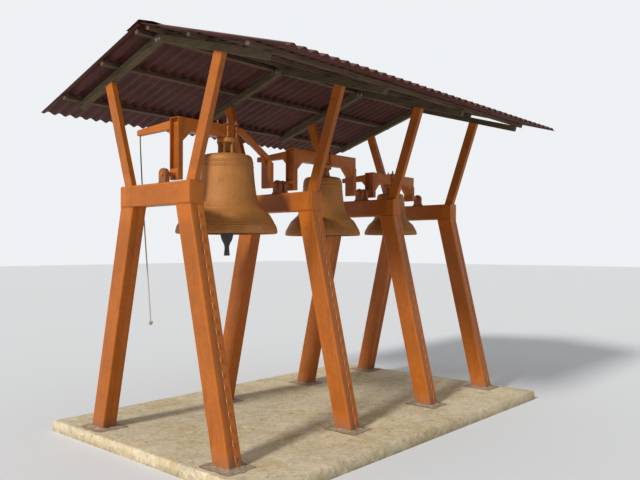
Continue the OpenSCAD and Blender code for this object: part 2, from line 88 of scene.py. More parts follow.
# A bell in shares of its mouth radius: heights over the lip of its crown, the roof of its hollow and the
# clapper's pin, height of the lugs over the pin, half the eye's length, and the radius at which a wall ends
CROWN, CORE_TOP, PIN_HEIGHT, LUG_TOP, EYE_HALF, AXIS_STUB = 1.56, 1.49, 1.36, 0.134, 0.04, 0.02

# A bell's wall in shares of its mouth radius: radius, height over the lip
OUTER_WALL = np.array([
    (0.955, 0), (0.985, 0.008), (1, 0.035), (0.99, 0.09), (0.965, 0.16), (0.936, 0.22), (0.893, 0.3),
    (0.84, 0.385), (0.76, 0.455), (0.688, 0.527), (0.635, 0.61), (0.6, 0.7), (0.575, 0.82),
    (0.557, 0.956), (0.542, 1.1), (0.529, 1.24), (0.512, 1.42), (0.498, 1.49), (0.468, 1.532),
    (0.41, 1.553), (0.33, CROWN)])
INNER_WALL = np.array([
    (0.3, CORE_TOP), (0.38, 1.475), (0.43, 1.43), (0.452, 1.36), (0.466, 1.24), (0.482, 1.1),
    (0.497, 0.956), (0.512, 0.82), (0.533, 0.7), (0.565, 0.6), (0.61, 0.51), (0.68, 0.41),
    (0.75, 0.31), (0.8, 0.22), (0.838, 0.14), (0.885, 0.05), (0.92, 0.012)])
LIP_SEAM = np.array([(0.93, 0.004)])

# A bell's cast rings, in the same shares: height over the lip, how bold the ring is, half width. The setting
# for their height is that of the largest bell.
BELL_RINGS = [(1.425, 0.7, 0.009), (1.395, 1.0, 0.011), (1.345, 0.6, 0.008), (1.31, 1.0, 0.011),
              (0.535, 0.6, 0.009), (0.495, 1.0, 0.014), (0.455, 0.6, 0.009), (0.175, 0.7, 0.009),
              (0.14, 1.0, 0.012), (0.105, 0.6, 0.009)]
LARGEST_RADIUS = 0.455

# A clapper in shares of its bell's mouth radius: radius, height over the pin, from the rod down to the tail
CLAPPER_WALL = np.array([
    (0.027, -0.5), (0.034, -0.98), (0.05, -1.035), (0.092, -1.075), (0.124, -1.14), (0.139, -1.22),
    (0.139, -1.3), (0.128, -1.38), (0.104, -1.475), (0.066, -1.55), (0.056, -1.575), (0.058, -1.78)])
CLAPPER_END = np.array([(0.055, -1.789), (0.02, -1.79)])

# The rope's route under the first lever: steps to the side and down, in metres
ROPE_STEPS = np.array([(0, 0), (0, -0.06), (0.008, -0.17), (0.024, -0.36), (0.05, -0.64), (0.08, -0.9),
                       (0.11, -1.15), (0.138, -1.38), (0.158, -1.56), (0.168, -1.66)])


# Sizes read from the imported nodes

def low(node):
    """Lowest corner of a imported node's box."""
    return np.array(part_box(node)[0])


def high(node):
    """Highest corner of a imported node's box."""
    return np.array(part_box(node)[1])


PAD_TOP = high("foundation_slab")[2]
LEG_TOP = low("trestle_1_beam")[2]
BEAM_TOP = high("trestle_1_beam")[2]
BEAM_HALF = high("trestle_1_beam")[0]
FOOT_HALF = high("trestle_1_right_leg")[0]
LEG_CUT = BEAM_HALF - low("trestle_1_right_leg")[0]
LEG_LEAN = (FOOT_HALF - BEAM_HALF) / (LEG_TOP - PAD_TOP)
RAFTER_REACH = high("rafter_pair_1")[0]
TAIL_LOW = RAFTER_REACH - RAFTER_HEIGHT * ROOF_SIN
RIDGE_UNDER = low("rafter_pair_1")[2] + ROOF_SLOPE * TAIL_LOW
ROOF_HALF = high("roof_sheet_right")[1]
AXIS_Z = frame["joints"][0]["pos_m"][2]


# Shapes: each gives the points of a surface, worked out as whole arrays

def unit(vectors):
    """Vectors scaled to length one."""
    vectors = np.asarray(vectors, float)
    return vectors / np.linalg.norm(vectors, axis=-1, keepdims=True)


def cells(index, closed=False, looped=False):
    """Four corners of each cell of a grid of vertex numbers. Closed joins the last column to the first, and
    looped the last row to the first."""
    if closed:
        index = np.concatenate([index, index[:, :1]], 1)
    if looped:
        index = np.concatenate([index, index[:1]], 0)
    return np.stack([index[:-1, :-1], index[:-1, 1:], index[1:, 1:], index[1:, :-1]], -1).reshape(-1, 4)


def volume(points, faces):
    """Signed volume inside faces: a sixth of each fan triangle's triple product, summed."""
    total = 0.0
    for group in faces:
        corners = points[group]
        for k in range(1, group.shape[1] - 1):
            total += np.einsum("ij,ij->", corners[:, 0], np.cross(corners[:, k], corners[:, k + 1])) / 6
    return total


def surface(points, looped=False, caps=True):
    """A part from a grid of points, rows along a path and columns round it. Caps close the first and last
    row. Faces that point inwards are turned round."""
    rows, columns = points.shape[:2]
    index = np.arange(rows * columns).reshape(rows, columns)
    faces = [cells(index, True, looped)]
    if caps and not looped:
        faces += [index[:1, ::-1], index[-1:]]
    flat = points.reshape(-1, 3)
    if (caps or looped) and volume(flat, faces) < 0:
        faces = [group[:, ::-1] for group in faces]
    return flat, faces


def rounded(corners, radii, inset=0.0, steps=4, support=0.0015):
    """Outline with each corner turned into an arc. A corner first moves inwards along its bisector, by inset
    over the sine of the half angle. The arc's ends lie the radius over that angle's tangent from it."""
    corners = np.asarray(corners, float)
    radii = np.broadcast_to(radii, len(corners))
    back, ahead = unit(np.roll(corners, 1, 0) - corners), unit(np.roll(corners, -1, 0) - corners)
    half = np.arccos(np.clip((back * ahead).sum(1), -1, 1)) / 2
    turn = back[:, 1] * ahead[:, 0] - back[:, 0] * ahead[:, 1]
    inwards = np.sign(turn)[:, None] * unit(back + ahead)
    corners = corners + inwards * (inset / np.sin(half))[:, None]
    radii = np.maximum(radii - np.sign(turn) * inset, 0.0003)
    centre = corners + unit(back + ahead) * (radii / np.sin(half))[:, None]
    reach = (radii / np.tan(half))[:, None]
    start, end = corners + back * reach - centre, corners + ahead * reach - centre
    sweep = (math.pi - 2 * half)[:, None]
    t = np.linspace(0, 1, steps + 1)[None, :]
    weight_a = (np.sin((1 - t) * sweep) / np.sin(sweep))[..., None]
    weight_b = (np.sin(t * sweep) / np.sin(sweep))[..., None]
    arcs = centre[:, None] + weight_a * start[:, None] + weight_b * end[:, None]
    before, after = arcs[:, :1] + back[:, None] * support, arcs[:, -1:] + ahead[:, None] * support
    return np.concatenate([before, arcs, after], 1).reshape(-1, 2)


def rectangle(width, depth):
    """Four corners of a rectangle about the origin, counterclockwise."""
    w, d = width / 2, depth / 2
    return np.array([(-w, -d), (w, -d), (w, d), (-w, d)])


def seamed_box(width, depth, radius, groove=0.0022):
    """Section of two channels set toe to toe: a rounded rectangle with a notch half way up each side."""
    outline = rounded(rectangle(width, depth), radius, steps=5)
    notch = np.array([(0, -1.6 * groove), (-groove, 0), (0, 1.6 * groove)])
    right = notch + (width / 2, 0)
    left = -notch - (width / 2, 0)
    angle = np.arctan2(outline[:, 1] / depth, outline[:, 0] / width)
    first = np.argmax(angle > 0)
    after_right = np.concatenate([outline[first:], outline[:first]])
    turn = np.argmax(after_right[:, 0] < -width / 2 + 1e-6)
    turn = turn + np.argmax(after_right[turn:, 1] < 0)
    return np.concatenate([right[1:], after_right[:turn], left, after_right[turn:], right[:1]])


def channel(width, depth, web, flange, root=0.007):
    """Section of a rolled channel: its web lies on the first axis, its two flanges point along the second."""
    w = width / 2
    corners = [(-w, 0), (w, 0), (w, depth), (w - flange, depth), (w - flange, web), (-w + flange, web),
               (-w + flange, depth), (-w, depth)]
    toe = min(0.003, flange / 3)
    return rounded(corners, [0.002, 0.002, 0.0008, toe, root, root, toe, 0.0008], steps=3, support=0.001)


def layers(start, end, edge):
    """Places along an extrusion and how far the outline draws in there: a quarter circle at each end."""
    turn = np.linspace(0, math.pi / 2, 4)
    inset = edge * (1 - np.sin(turn))
    place = edge * (1 - np.cos(turn))
    return np.concatenate([start + place, end - place[::-1]]), np.concatenate([inset, inset[::-1]])


def prism(corners, radii, origin, first, second, along, start, end, edge=0.002, steps=3):
    """A block: a rounded outline in the plane of first and second, carried from start to end, with its ends
    rounded too."""
    places, insets = layers(start, end, edge)
    outlines = np.stack([rounded(corners, radii, inset, steps) for inset in insets])
    return surface(origin + outlines[..., :1] * first + outlines[..., 1:] * second
                   + places[:, None, None] * along)


def block(lowest, highest, radius=0.003, edge=0.002):
    """A box between two corners with every edge rounded, carried upwards."""
    lowest, highest = np.asarray(lowest, float), np.asarray(highest, float)
    width, depth, _ = highest - lowest
    middle = (lowest + highest) / 2 * (1, 1, 0)
    return prism(rectangle(width, depth), radius, middle, X, Y, Z, lowest[2], highest[2], edge)


def turned(profile, centre, axis, sides, caps=True):
    """A surface of revolution: each profile point, a radius and a place along the axis, is carried round a
    circle."""
    profile = np.asarray(profile, float)
    axis = unit(axis)
    side = unit(np.cross(axis, Y if abs(axis[1]) < 0.9 else X))
    up = np.cross(axis, side)
    turn = np.linspace(0, 2 * math.pi, sides, endpoint=False)
    circle = np.cos(turn)[:, None] * side + np.sin(turn)[:, None] * up
    points = np.asarray(centre, float) + profile[:, :1, None] * circle + profile[:, 1:, None] * axis
    return surface(points, caps=caps)


def tube(path, radius, sides=10, looped=False, flat=1.0, about=None):
    """A round or oval section carried along a path; side and up at each point are square to the path's
    direction."""
    path = np.asarray(path, float)
    if looped:
        heading = unit(np.roll(path, -1, 0) - np.roll(path, 1, 0))
    else:
        heading = unit(np.gradient(path, axis=0))
    if about is None:
        about = np.eye(3)[np.argmin(np.abs(heading).mean(0))]
    side = unit(np.cross(about, heading))
    up = np.cross(heading, side)
    turn = np.linspace(0, 2 * math.pi, sides, endpoint=False)
    radius = np.broadcast_to(radius, len(path))[:, None, None]
    points = path[:, None] + radius * (np.cos(turn)[None, :, None] * side[:, None]
                                       + flat * np.sin(turn)[None, :, None] * up[:, None])
    return surface(points, looped=looped)


def spans(points, leaving, arriving, per_span):
    """Cubic spans between points, each from the slope it leaves with to the slope it arrives with."""
    t = np.linspace(0, 1, per_span, endpoint=False)[None, :, None]
    p, q, m, n = points[:-1, None], points[1:, None], leaving[:, None], arriving[:, None]
    line = ((2 * t**3 - 3 * t**2 + 1) * p + (t**3 - 2 * t**2 + t) * m + (3 * t**2 - 2 * t**3) * q
            + (t**3 - t**2) * n)
    return np.concatenate([line.reshape(-1, points.shape[1]), points[-1:]])


def path_lengths(line):
    """Length of a line up to each of its points."""
    return np.concatenate([[0], np.cumsum(np.linalg.norm(np.diff(line, axis=0), axis=1))])


def smooth_line(points, per_span):
    """A curve through points, whose slope at each is that of the chords on either side, weighed by length."""
    points = np.asarray(points, float)
    reach = path_lengths(points)
    slope, step = np.gradient(points, reach, axis=0), np.diff(reach)[:, None]
    return spans(points, slope[:-1] * step, slope[1:] * step, per_span)


def evenly(line, step):
    """The same line with its points an even step apart."""
    reach = path_lengths(line)
    at = np.linspace(0, reach[-1], max(2, int(round(reach[-1] / step)) + 1))
    return np.stack([np.interp(at, reach, line[:, k]) for k in range(line.shape[1])], 1)


def weld(path, radius, looped=False):
    """A weld bead along a path: a tube whose radius swells and sinks every few millimetres by a sum of sines,
    and runs out at the ends."""
    path = evenly(np.asarray(path, float), 0.004)
    if looped:
        path = path[:-1]
    k = np.arange(len(path))
    swell = 1 + 0.12 * np.sin(1.9 * k) + 0.10 * np.sin(0.73 * k + 1)
    if not looped:
        swell = swell * np.sqrt(np.clip(1 - np.abs(np.linspace(-1, 1, len(path)))**6, 0.05, 1))
    return tube(path, radius * swell, sides=7, looped=looped)


def stitches(start, end, pitch, length, radius):
    """Short welds at an even pitch along a line: each is a slender bead, thickest in its middle."""
    start, end = np.asarray(start, float), np.asarray(end, float)
    reach = np.linalg.norm(end - start)
    heading = (end - start) / reach
    count = int(reach / pitch)
    t = np.linspace(-1, 1, 9)
    swell = radius * np.sqrt(np.clip(1 - t**4, 0.02, 1)) * (1 + 0.15 * np.sin(9 * t))
    middles = (np.arange(count) + 0.5) * reach / count
    wander = 0.006 * np.sin(7.3 * np.arange(count) + 40 * start[1])
    return [tube(start + heading * (m + w + t[:, None] * length / 2), swell, sides=6)
            for m, w in zip(middles, wander)]


def hexagon(at, axis, across, height, washer=0.0):
    """A hexagon head or nut on its washer: six-sided outline with a chamfered top, over a thin round disc."""
    r = across / math.sqrt(3)
    thick = min(0.0025, height / 4) if washer else 0.0
    parts = [turned([(r, thick), (r, height * 0.86 + thick), (r * 0.9, height + thick)], at, axis, 6)]
    if washer:
        parts.append(turned([(washer, 0), (washer, thick * 0.8), (washer * 0.95, thick)], at, axis, 14))
    return parts


def leaning(outline, foot, lean, bottom, top, rows=10):
    """A member that leans across the row: each point of its outline rises from bottom to top and moves
    sideways by lean for each unit of height. Top is a height, one for each point, or a function of where the
    point starts."""
    a, b = foot[0] + outline[:, 0], foot[1] + outline[:, 1]
    end = top(a) if callable(top) else np.full(len(a), top)
    z = bottom + np.linspace(0, 1, rows)[:, None] * (end - bottom)[None, :]
    return surface(np.stack([a + lean * (z - bottom), np.broadcast_to(b, z.shape), z], -1))


def under_rafter(x):
    """Height of the rafters' underside at a distance from the ridge line."""
    return RIDGE_UNDER - ROOF_SLOPE * np.abs(x)


def arm_end(side):
    """Height at which a line of an arm meets its rafter: where the leaning line and the slope cross."""
    steepness = 1 + ROOF_SLOPE * ARM_LEAN
    return lambda x: (RIDGE_UNDER - ROOF_SLOPE * (side * x - ARM_LEAN * BEAM_TOP)) / steepness


def mesh_of(name, parts, grain, seed):
    """One mesh from parts. Its map runs along the grain in v and across it in u, both in metres."""
    points = np.concatenate([p for p, _ in parts])
    starts = np.cumsum([0] + [len(p) for p, _ in parts[:-1]])
    groups = [group + s for (_, faces), s in zip(parts, starts) for group in faces]
    corners = np.concatenate([g.ravel() for g in groups]).astype(np.int32)
    sizes = np.concatenate([np.full(len(g), g.shape[1]) for g in groups]).astype(np.int32)
    mesh = bpy.data.meshes.new(name)
    mesh.vertices.add(len(points))
    mesh.vertices.foreach_set("co", points.astype(np.float32).ravel())
    mesh.loops.add(len(corners))
    mesh.loops.foreach_set("vertex_index", corners)
    mesh.polygons.add(len(sizes))
    mesh.polygons.foreach_set("loop_start", np.concatenate([[0], np.cumsum(sizes)[:-1]]).astype(np.int32))
    mesh.polygons.foreach_set("loop_total", sizes)
    mesh.polygons.foreach_set("use_smooth", np.ones(len(sizes), bool))
    mesh.update(calc_edges=True)
    mesh.validate()
    grain = unit(grain)
    first = unit(np.cross(grain, X if abs(grain[0]) < 0.7 else Y))
    across = points @ first + points @ np.cross(grain, first) + 3.7 * seed
    flat = np.stack([across, points @ grain], 1)[corners]
    mesh.uv_layers.new(name="grain").data.foreach_set("uv", flat.astype(np.float32).ravel())
    mesh.set_sharp_from_angle(angle=math.radians(38))
    return mesh


def piece(name, parts, finish, body, replaces=(), grain=Z, seed=0.0):
    """Puts parts into the scene as one object that rides on a body and stands for the nodes it replaces."""
    obj = bpy.data.objects.new(name, mesh_of(name, parts, grain, seed))
    bpy.context.scene.collection.objects.link(obj)
    obj.data.materials.append(finish)
    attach(obj, body)
    if replaces:
        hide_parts(*replaces)
    return obj


# Finishes

class Finish:
    """A material under construction, with short calls that add and join its nodes."""

    def __init__(self, name, **constants):
        """A new material whose shader has the given constants, with both kinds of coordinates at hand."""
        self.material = bpy.data.materials.new(name)
        self.material.use_nodes = True
        self.tree = self.material.node_tree
        self.shader = self.tree.nodes["Principled BSDF"]
        for socket, value in constants.items():
            self.shader.inputs[socket.replace("_", " ")].default_value = value
        self.places = self.add("TexCoord").outputs["Object"]
        along = self.add("UVMap")
        along.uv_map = "grain"
        self.grain = along.outputs["UV"]

    def add(self, kind, **settings):
        """A new node with its settings."""
        node = self.tree.nodes.new("ShaderNode" + kind)
        for key, value in settings.items():
            setattr(node, key, value)
        return node

    def join(self, source, socket):
        """Links an output to an input."""
        self.tree.links.new(source, socket)

    def feed(self, node, socket, value):
        """Gives an input a link or a number."""
        if hasattr(value, "is_output"):
            self.join(value, node.inputs[socket])
        else:
            node.inputs[socket].default_value = value

    def stretched(self, source, scale):
        """Coordinates scaled on each axis, so that a pattern runs longer one way."""
        node = self.add("Mapping")
        self.join(source, node.inputs["Vector"])
        node.inputs["Scale"].default_value = scale
        return node.outputs["Vector"]

    def noise(self, scale, detail=4.0, rough=0.55, stretch=None, grain=False, warp=0.0):
        """A cloudy value in space, or on the map that follows the grain; stretch scales each axis."""
        node = self.add("TexNoise")
        source = self.grain if grain else self.places
        if stretch:
            source = self.stretched(source, stretch)
        self.join(source, node.inputs["Vector"])
        numbers = (scale, detail, rough, warp)
        for socket, number in zip(("Scale", "Detail", "Roughness", "Distortion"), numbers):
            node.inputs[socket].default_value = number
        return node.outputs["Fac"]

    def between(self, value, start, end, low_value=0.0, high_value=1.0):
        """A value mapped from one range to another, and held at its ends."""
        node = self.add("MapRange")
        self.feed(node, "Value", value)
        numbers = (start, end, low_value, high_value)
        for socket, number in zip(("From Min", "From Max", "To Min", "To Max"), numbers):
            node.inputs[socket].default_value = number
        return node.outputs["Result"]

    def height(self):
        """Height over the ground, from the object coordinates."""
        node = self.add("SeparateXYZ")
        self.join(self.places, node.inputs["Vector"])
        return node.outputs["Z"]

    def facing(self, axis):
        """How far the surface faces along an axis of the tower, from minus one to one."""
        node = self.add("SeparateXYZ")
        self.join(self.add("NewGeometry").outputs["Normal"], node.inputs["Vector"])
        return node.outputs[axis]

    def times(self, a, b, operation="MULTIPLY"):
        """Product of two values, or another operation on them."""
        node = self.add("Math", operation=operation)
        self.feed(node, 0, a)
        self.feed(node, 1, b)
        return node.outputs["Value"]

    def ramp(self, value, stops):
        """A colour for each value, blended between stops of a place and a colour."""
        node = self.add("ValToRGB")
        self.feed(node, "Fac", value)
        elements = node.color_ramp.elements
        while len(elements) < len(stops):
            elements.new(0.5)
        for element, (place, colour) in zip(elements, stops):
            element.position = place
            element.color = (*colour, 1.0)
        return node.outputs["Color"]

    def blend(self, share, a, b):
        """Colour a turned into colour b by a share from nought to one."""
        node = self.add("Mix", data_type="RGBA")
        self.feed(node, "Factor", share)
        for socket, value in ((6, a), (7, b)):
            self.feed(node, socket, value if hasattr(value, "is_output") else (*value, 1.0))
        return node.outputs[2]

    def over(self, colour, value, start, end, most, laid):
        """A colour laid over another as a value runs from start to end, up to the share most."""
        return self.blend(self.between(value, start, end, 0.0, most), colour, laid)

    def relief(self, *heights):
        """Bumps laid over each other: pairs of a height and its depth in metres."""
        normal = None
        for value, depth in heights:
            node = self.add("Bump")
            node.inputs["Strength"].default_value = 1.0
            node.inputs["Distance"].default_value = depth
            self.join(value, node.inputs["Height"])
            if normal is not None:
                self.join(normal, node.inputs["Normal"])
            normal = node.outputs["Normal"]
        self.join(normal, self.shader.inputs["Normal"])

    def done(self, colour, rough):
        """Feeds the shader its colour and roughness, and hands over the material."""
        self.feed(self.shader, "Base Color", colour)
        self.feed(self.shader, "Roughness", rough)
        return self.material


def setting(name):
    """A colour from the settings."""
    return tuple(getattr(bpy.context.scene.tower_colours, name))


def tint(colour, factor):
    """A colour made lighter or darker."""
    return tuple(min(1.0, c * factor) for c in colour)


def steel_paint():
    """Dull paint on rolled steel: faint brush marks, cloudy and mottled tone, a painted highlight along the
    rounded corners, dirt in streaks, at the foot and on top, and specks of rust."""
    base = setting("paint")
    m = Finish("brushed_steel_paint", Coat_Weight=0.06, Coat_Roughness=0.25, Specular_IOR_Level=0.22)
    clouds = m.noise(2.6, 6, 0.6)
    brush = m.noise(26, 5, 0.65, stretch=(1.0, 0.045, 1.0), grain=True)
    fine = m.noise(150, 3, 0.6, stretch=(1.0, 0.05, 1.0), grain=True)
    mottle = m.noise(24, 7, 0.72)
    colour = m.ramp(clouds, [(0.3, tint(base, 0.8)), (0.5, base), (0.7, tint(base, 1.15))])
    colour = m.over(colour, mottle, 0.42, 0.68, 0.5, tint(base, 0.66))
    colour = m.over(colour, brush, 0.45, 0.7, 0.32, tint(base, 0.64))
    colour = m.over(colour, fine, 0.54, 0.75, 0.25, tint(base, 1.3))
    # Painted highlight: the rounded corners, found by their pointiness, are made lighter than the paint
    corner = m.between(m.add("NewGeometry").outputs["Pointiness"], 0.503, 0.517)
    colour = m.blend(m.times(corner, 0.3), colour, tint(base, 1.5))
    streaks = m.noise(9, 6, 0.7, stretch=(1.0, 1.0, 0.12))
    colour = m.over(colour, streaks, 0.56, 0.74, 0.55, setting("paint_dirt_and_shade"))
    splash = m.times(m.between(m.height(), 0.24, 0.10), m.between(m.noise(18, 6, 0.7), 0.3, 0.6))
    colour = m.blend(m.times(splash, 0.7), colour, tint(setting("dust"), 0.55))
    dust = m.times(m.between(m.facing("Z"), 0.6, 0.95), m.between(m.noise(11, 6, 0.7), 0.4, 0.65))
    colour = m.blend(m.times(dust, 0.35), colour, setting("dust"))
    rust = m.between(m.noise(34, 8, 0.75, warp=0.6), 0.64, 0.70)
    colour = m.blend(m.times(rust, 0.85), colour, setting("rust"))
    rough = m.times(m.between(brush, 0.3, 0.8, 0.34, 0.5), m.times(rust, 0.35), "ADD")
    rough = m.times(rough, m.times(splash, 0.3), "ADD")
    m.relief((clouds, 0.0012), (brush, 0.0004), (fine, 0.00012), (rust, -0.0002))
    return m.done(colour, rough)


def weld_paint():
    """The same paint over a weld, a little darker in the ripples and rusty in places."""
    base = setting("paint")
    m = Finish("painted_weld", Coat_Weight=0.08, Coat_Roughness=0.3, Specular_IOR_Level=0.3)
    lumps = m.noise(240, 4, 0.7)
    colour = m.ramp(lumps, [(0.35, tint(base, 0.55)), (0.6, tint(base, 1.25))])
    colour = m.over(colour, m.noise(30, 6, 0.7), 0.55, 0.65, 0.6, setting("rust"))
    m.relief((lumps, 0.0006),)
    return m.done(colour, m.between(lumps, 0.3, 0.7, 0.32, 0.55))


def timber(name, base):
    """Sawn softwood left bare: grain along the piece, saw marks across it, and dark stains."""
    m = Finish(name, Specular_IOR_Level=0.2)
    grain = m.noise(60, 7, 0.65, stretch=(1.0, 0.04, 1.0), grain=True, warp=0.4)
    saw = m.noise(420, 2, 0.5, stretch=(0.05, 1.0, 1.0), grain=True)
    colour = m.ramp(grain, [(0.3, tint(base, 0.5)), (0.52, base), (0.75, tint(base, 1.4))])
    colour = m.over(colour, m.noise(6, 5, 0.7), 0.5, 0.7, 0.6, tint(base, 0.45))
    m.relief((grain, 0.001), (saw, 0.0003))
    return m.done(colour, m.between(grain, 0.3, 0.7, 0.7, 0.9))


def batten_timber():
    """The battens' timber: weathered, and darkened further as painted shade for the shade under the roof."""
    return timber("sawn_batten", setting("batten"))


def rafter_timber():
    """The rafters' timber."""
    return timber("sawn_rafter", setting("rafter"))


def sheet_coat():
    """Coated roofing sheet: a dark red-brown film, chalked on top, with run marks down the slope and fine
    scuffs."""
    base = setting("sheet")
    m = Finish("roofing_film", Specular_IOR_Level=0.22)
    clouds = m.noise(3.5, 6, 0.6)
    runs = m.noise(60, 6, 0.7, stretch=(0.06, 1.0, 0.2))
    grit = m.noise(420, 2, 0.6)
    colour = m.ramp(clouds, [(0.3, tint(base, 0.7)), (0.7, tint(base, 1.3))])
    colour = m.over(colour, runs, 0.5, 0.72, 0.55, tint(base, 0.5))
    chalk = m.times(m.between(m.facing("Z"), 0.3, 0.9), m.between(m.noise(14, 6, 0.7), 0.35, 0.7))
    colour = m.blend(m.times(chalk, 0.35), colour, tint(base, 2.3))
    scuff = m.between(m.noise(90, 8, 0.8), 0.7, 0.76)
    colour = m.blend(m.times(scuff, 0.6), colour, setting("rust"))
    m.relief((clouds, 0.0006), (grit, 0.00012))
    return m.done(colour, m.between(runs, 0.3, 0.7, 0.42, 0.68))


def bell_bronze():
    """Cast bronze gone brown: cloudy patina, grainy casting skin, run marks, pitting and a trace of
    verdigris."""
    base = setting("bronze")
    m = Finish("weathered_bronze", Metallic=0.2, Specular_IOR_Level=0.3)
    clouds = m.noise(4, 7, 0.62, warp=0.3)
    runs = m.noise(30, 6, 0.7, stretch=(1.0, 1.0, 0.08))
    skin = m.noise(75, 7, 0.75)
    pits = m.noise(700, 3, 0.7)
    tones = [(0.28, tint(base, 0.7)), (0.46, base), (0.6, tint(base, 1.1)), (0.74, tint(base, 1.25))]
    colour = m.ramp(clouds, tones)
    colour = m.over(colour, runs, 0.52, 0.74, 0.4, tint(base, 0.5))
    colour = m.over(colour, skin, 0.52, 0.68, 0.55, tint(base, 1.5))
    colour = m.over(colour, skin, 0.44, 0.3, 0.5, tint(base, 0.5))
    green = m.times(m.between(m.noise(9, 8, 0.75), 0.62, 0.74), m.between(skin, 0.45, 0.6))
    colour = m.blend(m.times(green, 0.25), colour, setting("verdigris"))
    m.relief((clouds, 0.0014), (skin, 0.0009), (pits, 0.00012))
    rough = m.times(m.between(clouds, 0.3, 0.7, 0.62, 0.5), m.between(skin, 0.3, 0.8, -0.05, 0.12), "ADD")
    return m.done(colour, rough)


def bell_core():
    """The inside of a bell: darker, duller metal with turning marks and soot-brown staining."""
    base = tint(setting("bronze"), 0.55)
    m = Finish("bell_inside", Metallic=0.45)
    rings = m.noise(60, 4, 0.6, stretch=(0.03, 0.03, 6.0))
    clouds = m.noise(8, 6, 0.65)
    colour = m.ramp(clouds, [(0.3, tint(base, 0.5)), (0.7, tint(base, 1.25))])
    m.relief((rings, 0.0006), (m.noise(200, 4, 0.7), 0.0003))
    return m.done(colour, m.between(clouds, 0.3, 0.7, 0.55, 0.8))


def iron(name, base, rust_share, metallic, rough):
    """Forged or cast iron: dark skin with scale and pits, and rust where the noise passes a threshold."""
    m = Finish(name, Metallic=metallic)
    skin = m.noise(70, 7, 0.7)
    pits = m.noise(320, 4, 0.7)
    colour = m.ramp(skin, [(0.3, tint(base, 0.6)), (0.7, tint(base, 1.5))])
    rust = m.between(m.noise(24, 8, 0.75, warp=0.4), 0.72 - 0.35 * rust_share, 0.8 - 0.3 * rust_share)
    warm = m.ramp(pits, [(0.3, tint(setting("rust"), 0.6)), (0.7, tint(setting("rust"), 1.5))])
    colour = m.blend(rust, colour, warm)
    m.relief((skin, 0.0008), (pits, 0.0003))
    sheen = m.between(skin, 0.3, 0.7, rough - 0.08, rough + 0.08)
    return m.done(colour, m.times(sheen, m.times(rust, 0.3), "ADD"))


def seam_weld():
    """Short seam welds coloured pale cream as a painted highlight on their crests, darker between."""
    base = setting("seam_weld")
    m = Finish("seam_weld", Specular_IOR_Level=0.3)
    lumps = m.noise(210, 4, 0.7)
    # Painted highlight: the pale cream colour stands for the sheen on the painted beads
    colour = m.ramp(lumps, [(0.32, tint(base, 0.45)), (0.5, base), (0.7, tint(base, 1.3))])
    m.relief((lumps, 0.0006),)
    return m.done(colour, m.between(lumps, 0.3, 0.7, 0.5, 0.75))


def bearing_paint():
    """Old reddish paint over cast iron: grainy skin, darker in the pits, rusty where it is rubbed, and
    painted shade on the faces that look down.
    """
    base = setting("bearing")
    m = Finish("bearing_paint", Coat_Weight=0.05, Specular_IOR_Level=0.3)
    skin = m.noise(120, 6, 0.7)
    colour = m.ramp(skin, [(0.3, tint(base, 0.6)), (0.5, base), (0.72, tint(base, 1.3))])
    rust = m.between(m.noise(36, 8, 0.75), 0.54, 0.64)
    colour = m.blend(m.times(rust, 0.75), colour, tint(setting("rust"), 1.4))
    # Painted shade: faces that look down are darkened with the dirt colour
    painted_underside_shade = m.times(m.between(m.facing("Z"), -0.1, -0.7), 0.6)
    colour = m.blend(painted_underside_shade, colour, setting("paint_dirt_and_shade"))
    m.relief((skin, 0.0009), (rust, -0.0003))
    return m.done(colour, m.between(skin, 0.3, 0.7, 0.45, 0.65))


def rusty_iron():
    """The hanger plates' iron, mostly rust."""
    return iron("rusted_iron", (0.16, 0.09, 0.06), 0.75, 0.35, 0.62)


def dark_iron():
    """The clappers' forged iron."""
    return iron("dark_iron", (0.07, 0.062, 0.058), 0.2, 0.7, 0.5)


def zinc_screw():
    """Galvanised screws and bolts, dulled."""
    return iron("zinc_screw", (0.42, 0.42, 0.42), 0.25, 0.85, 0.42)


def red_lead():
    """Primer left on the hanger rods: matt orange-red over iron, worn through to rust."""
    m = Finish("rod_primer", Metallic=0.1)
    wear = m.noise(38, 7, 0.7)
    colour = m.blend(m.between(wear, 0.5, 0.62, 0.0, 0.85), setting("rod_primer"), setting("rust"))
    m.relief((m.noise(160, 5, 0.7), 0.0005),)
    return m.done(colour, m.between(wear, 0.3, 0.7, 0.55, 0.8))


def rope_fibre():
    """Pale laid fibre: fine fibres along the strands, soiled near the lower end, and a painted shade that
    darkens it towards the top.
    """
    base = setting("rope")
    m = Finish("rope_fibre", Sheen_Weight=0.25, Sheen_Roughness=0.5)
    fibre = m.noise(900, 4, 0.7, stretch=(1.0, 1.0, 0.22))
    colour = m.ramp(fibre, [(0.3, tint(base, 0.55)), (0.65, tint(base, 1.1))])
    soil = m.times(m.between(m.height(), 1.7, 1.0), m.between(m.noise(35, 5, 0.7), 0.3, 0.65))
    colour = m.blend(m.times(soil, 0.55), colour, setting("dust"))
    # Painted shade: the rope darkens towards its top, under the roof
    colour = m.over(colour, m.height(), 1.9, 2.35, 0.8, tint(setting("dust"), 0.3))
    m.relief((fibre, 0.0006),)
    return m.done(colour, m.between(fibre, 0.3, 0.7, 0.8, 0.95))


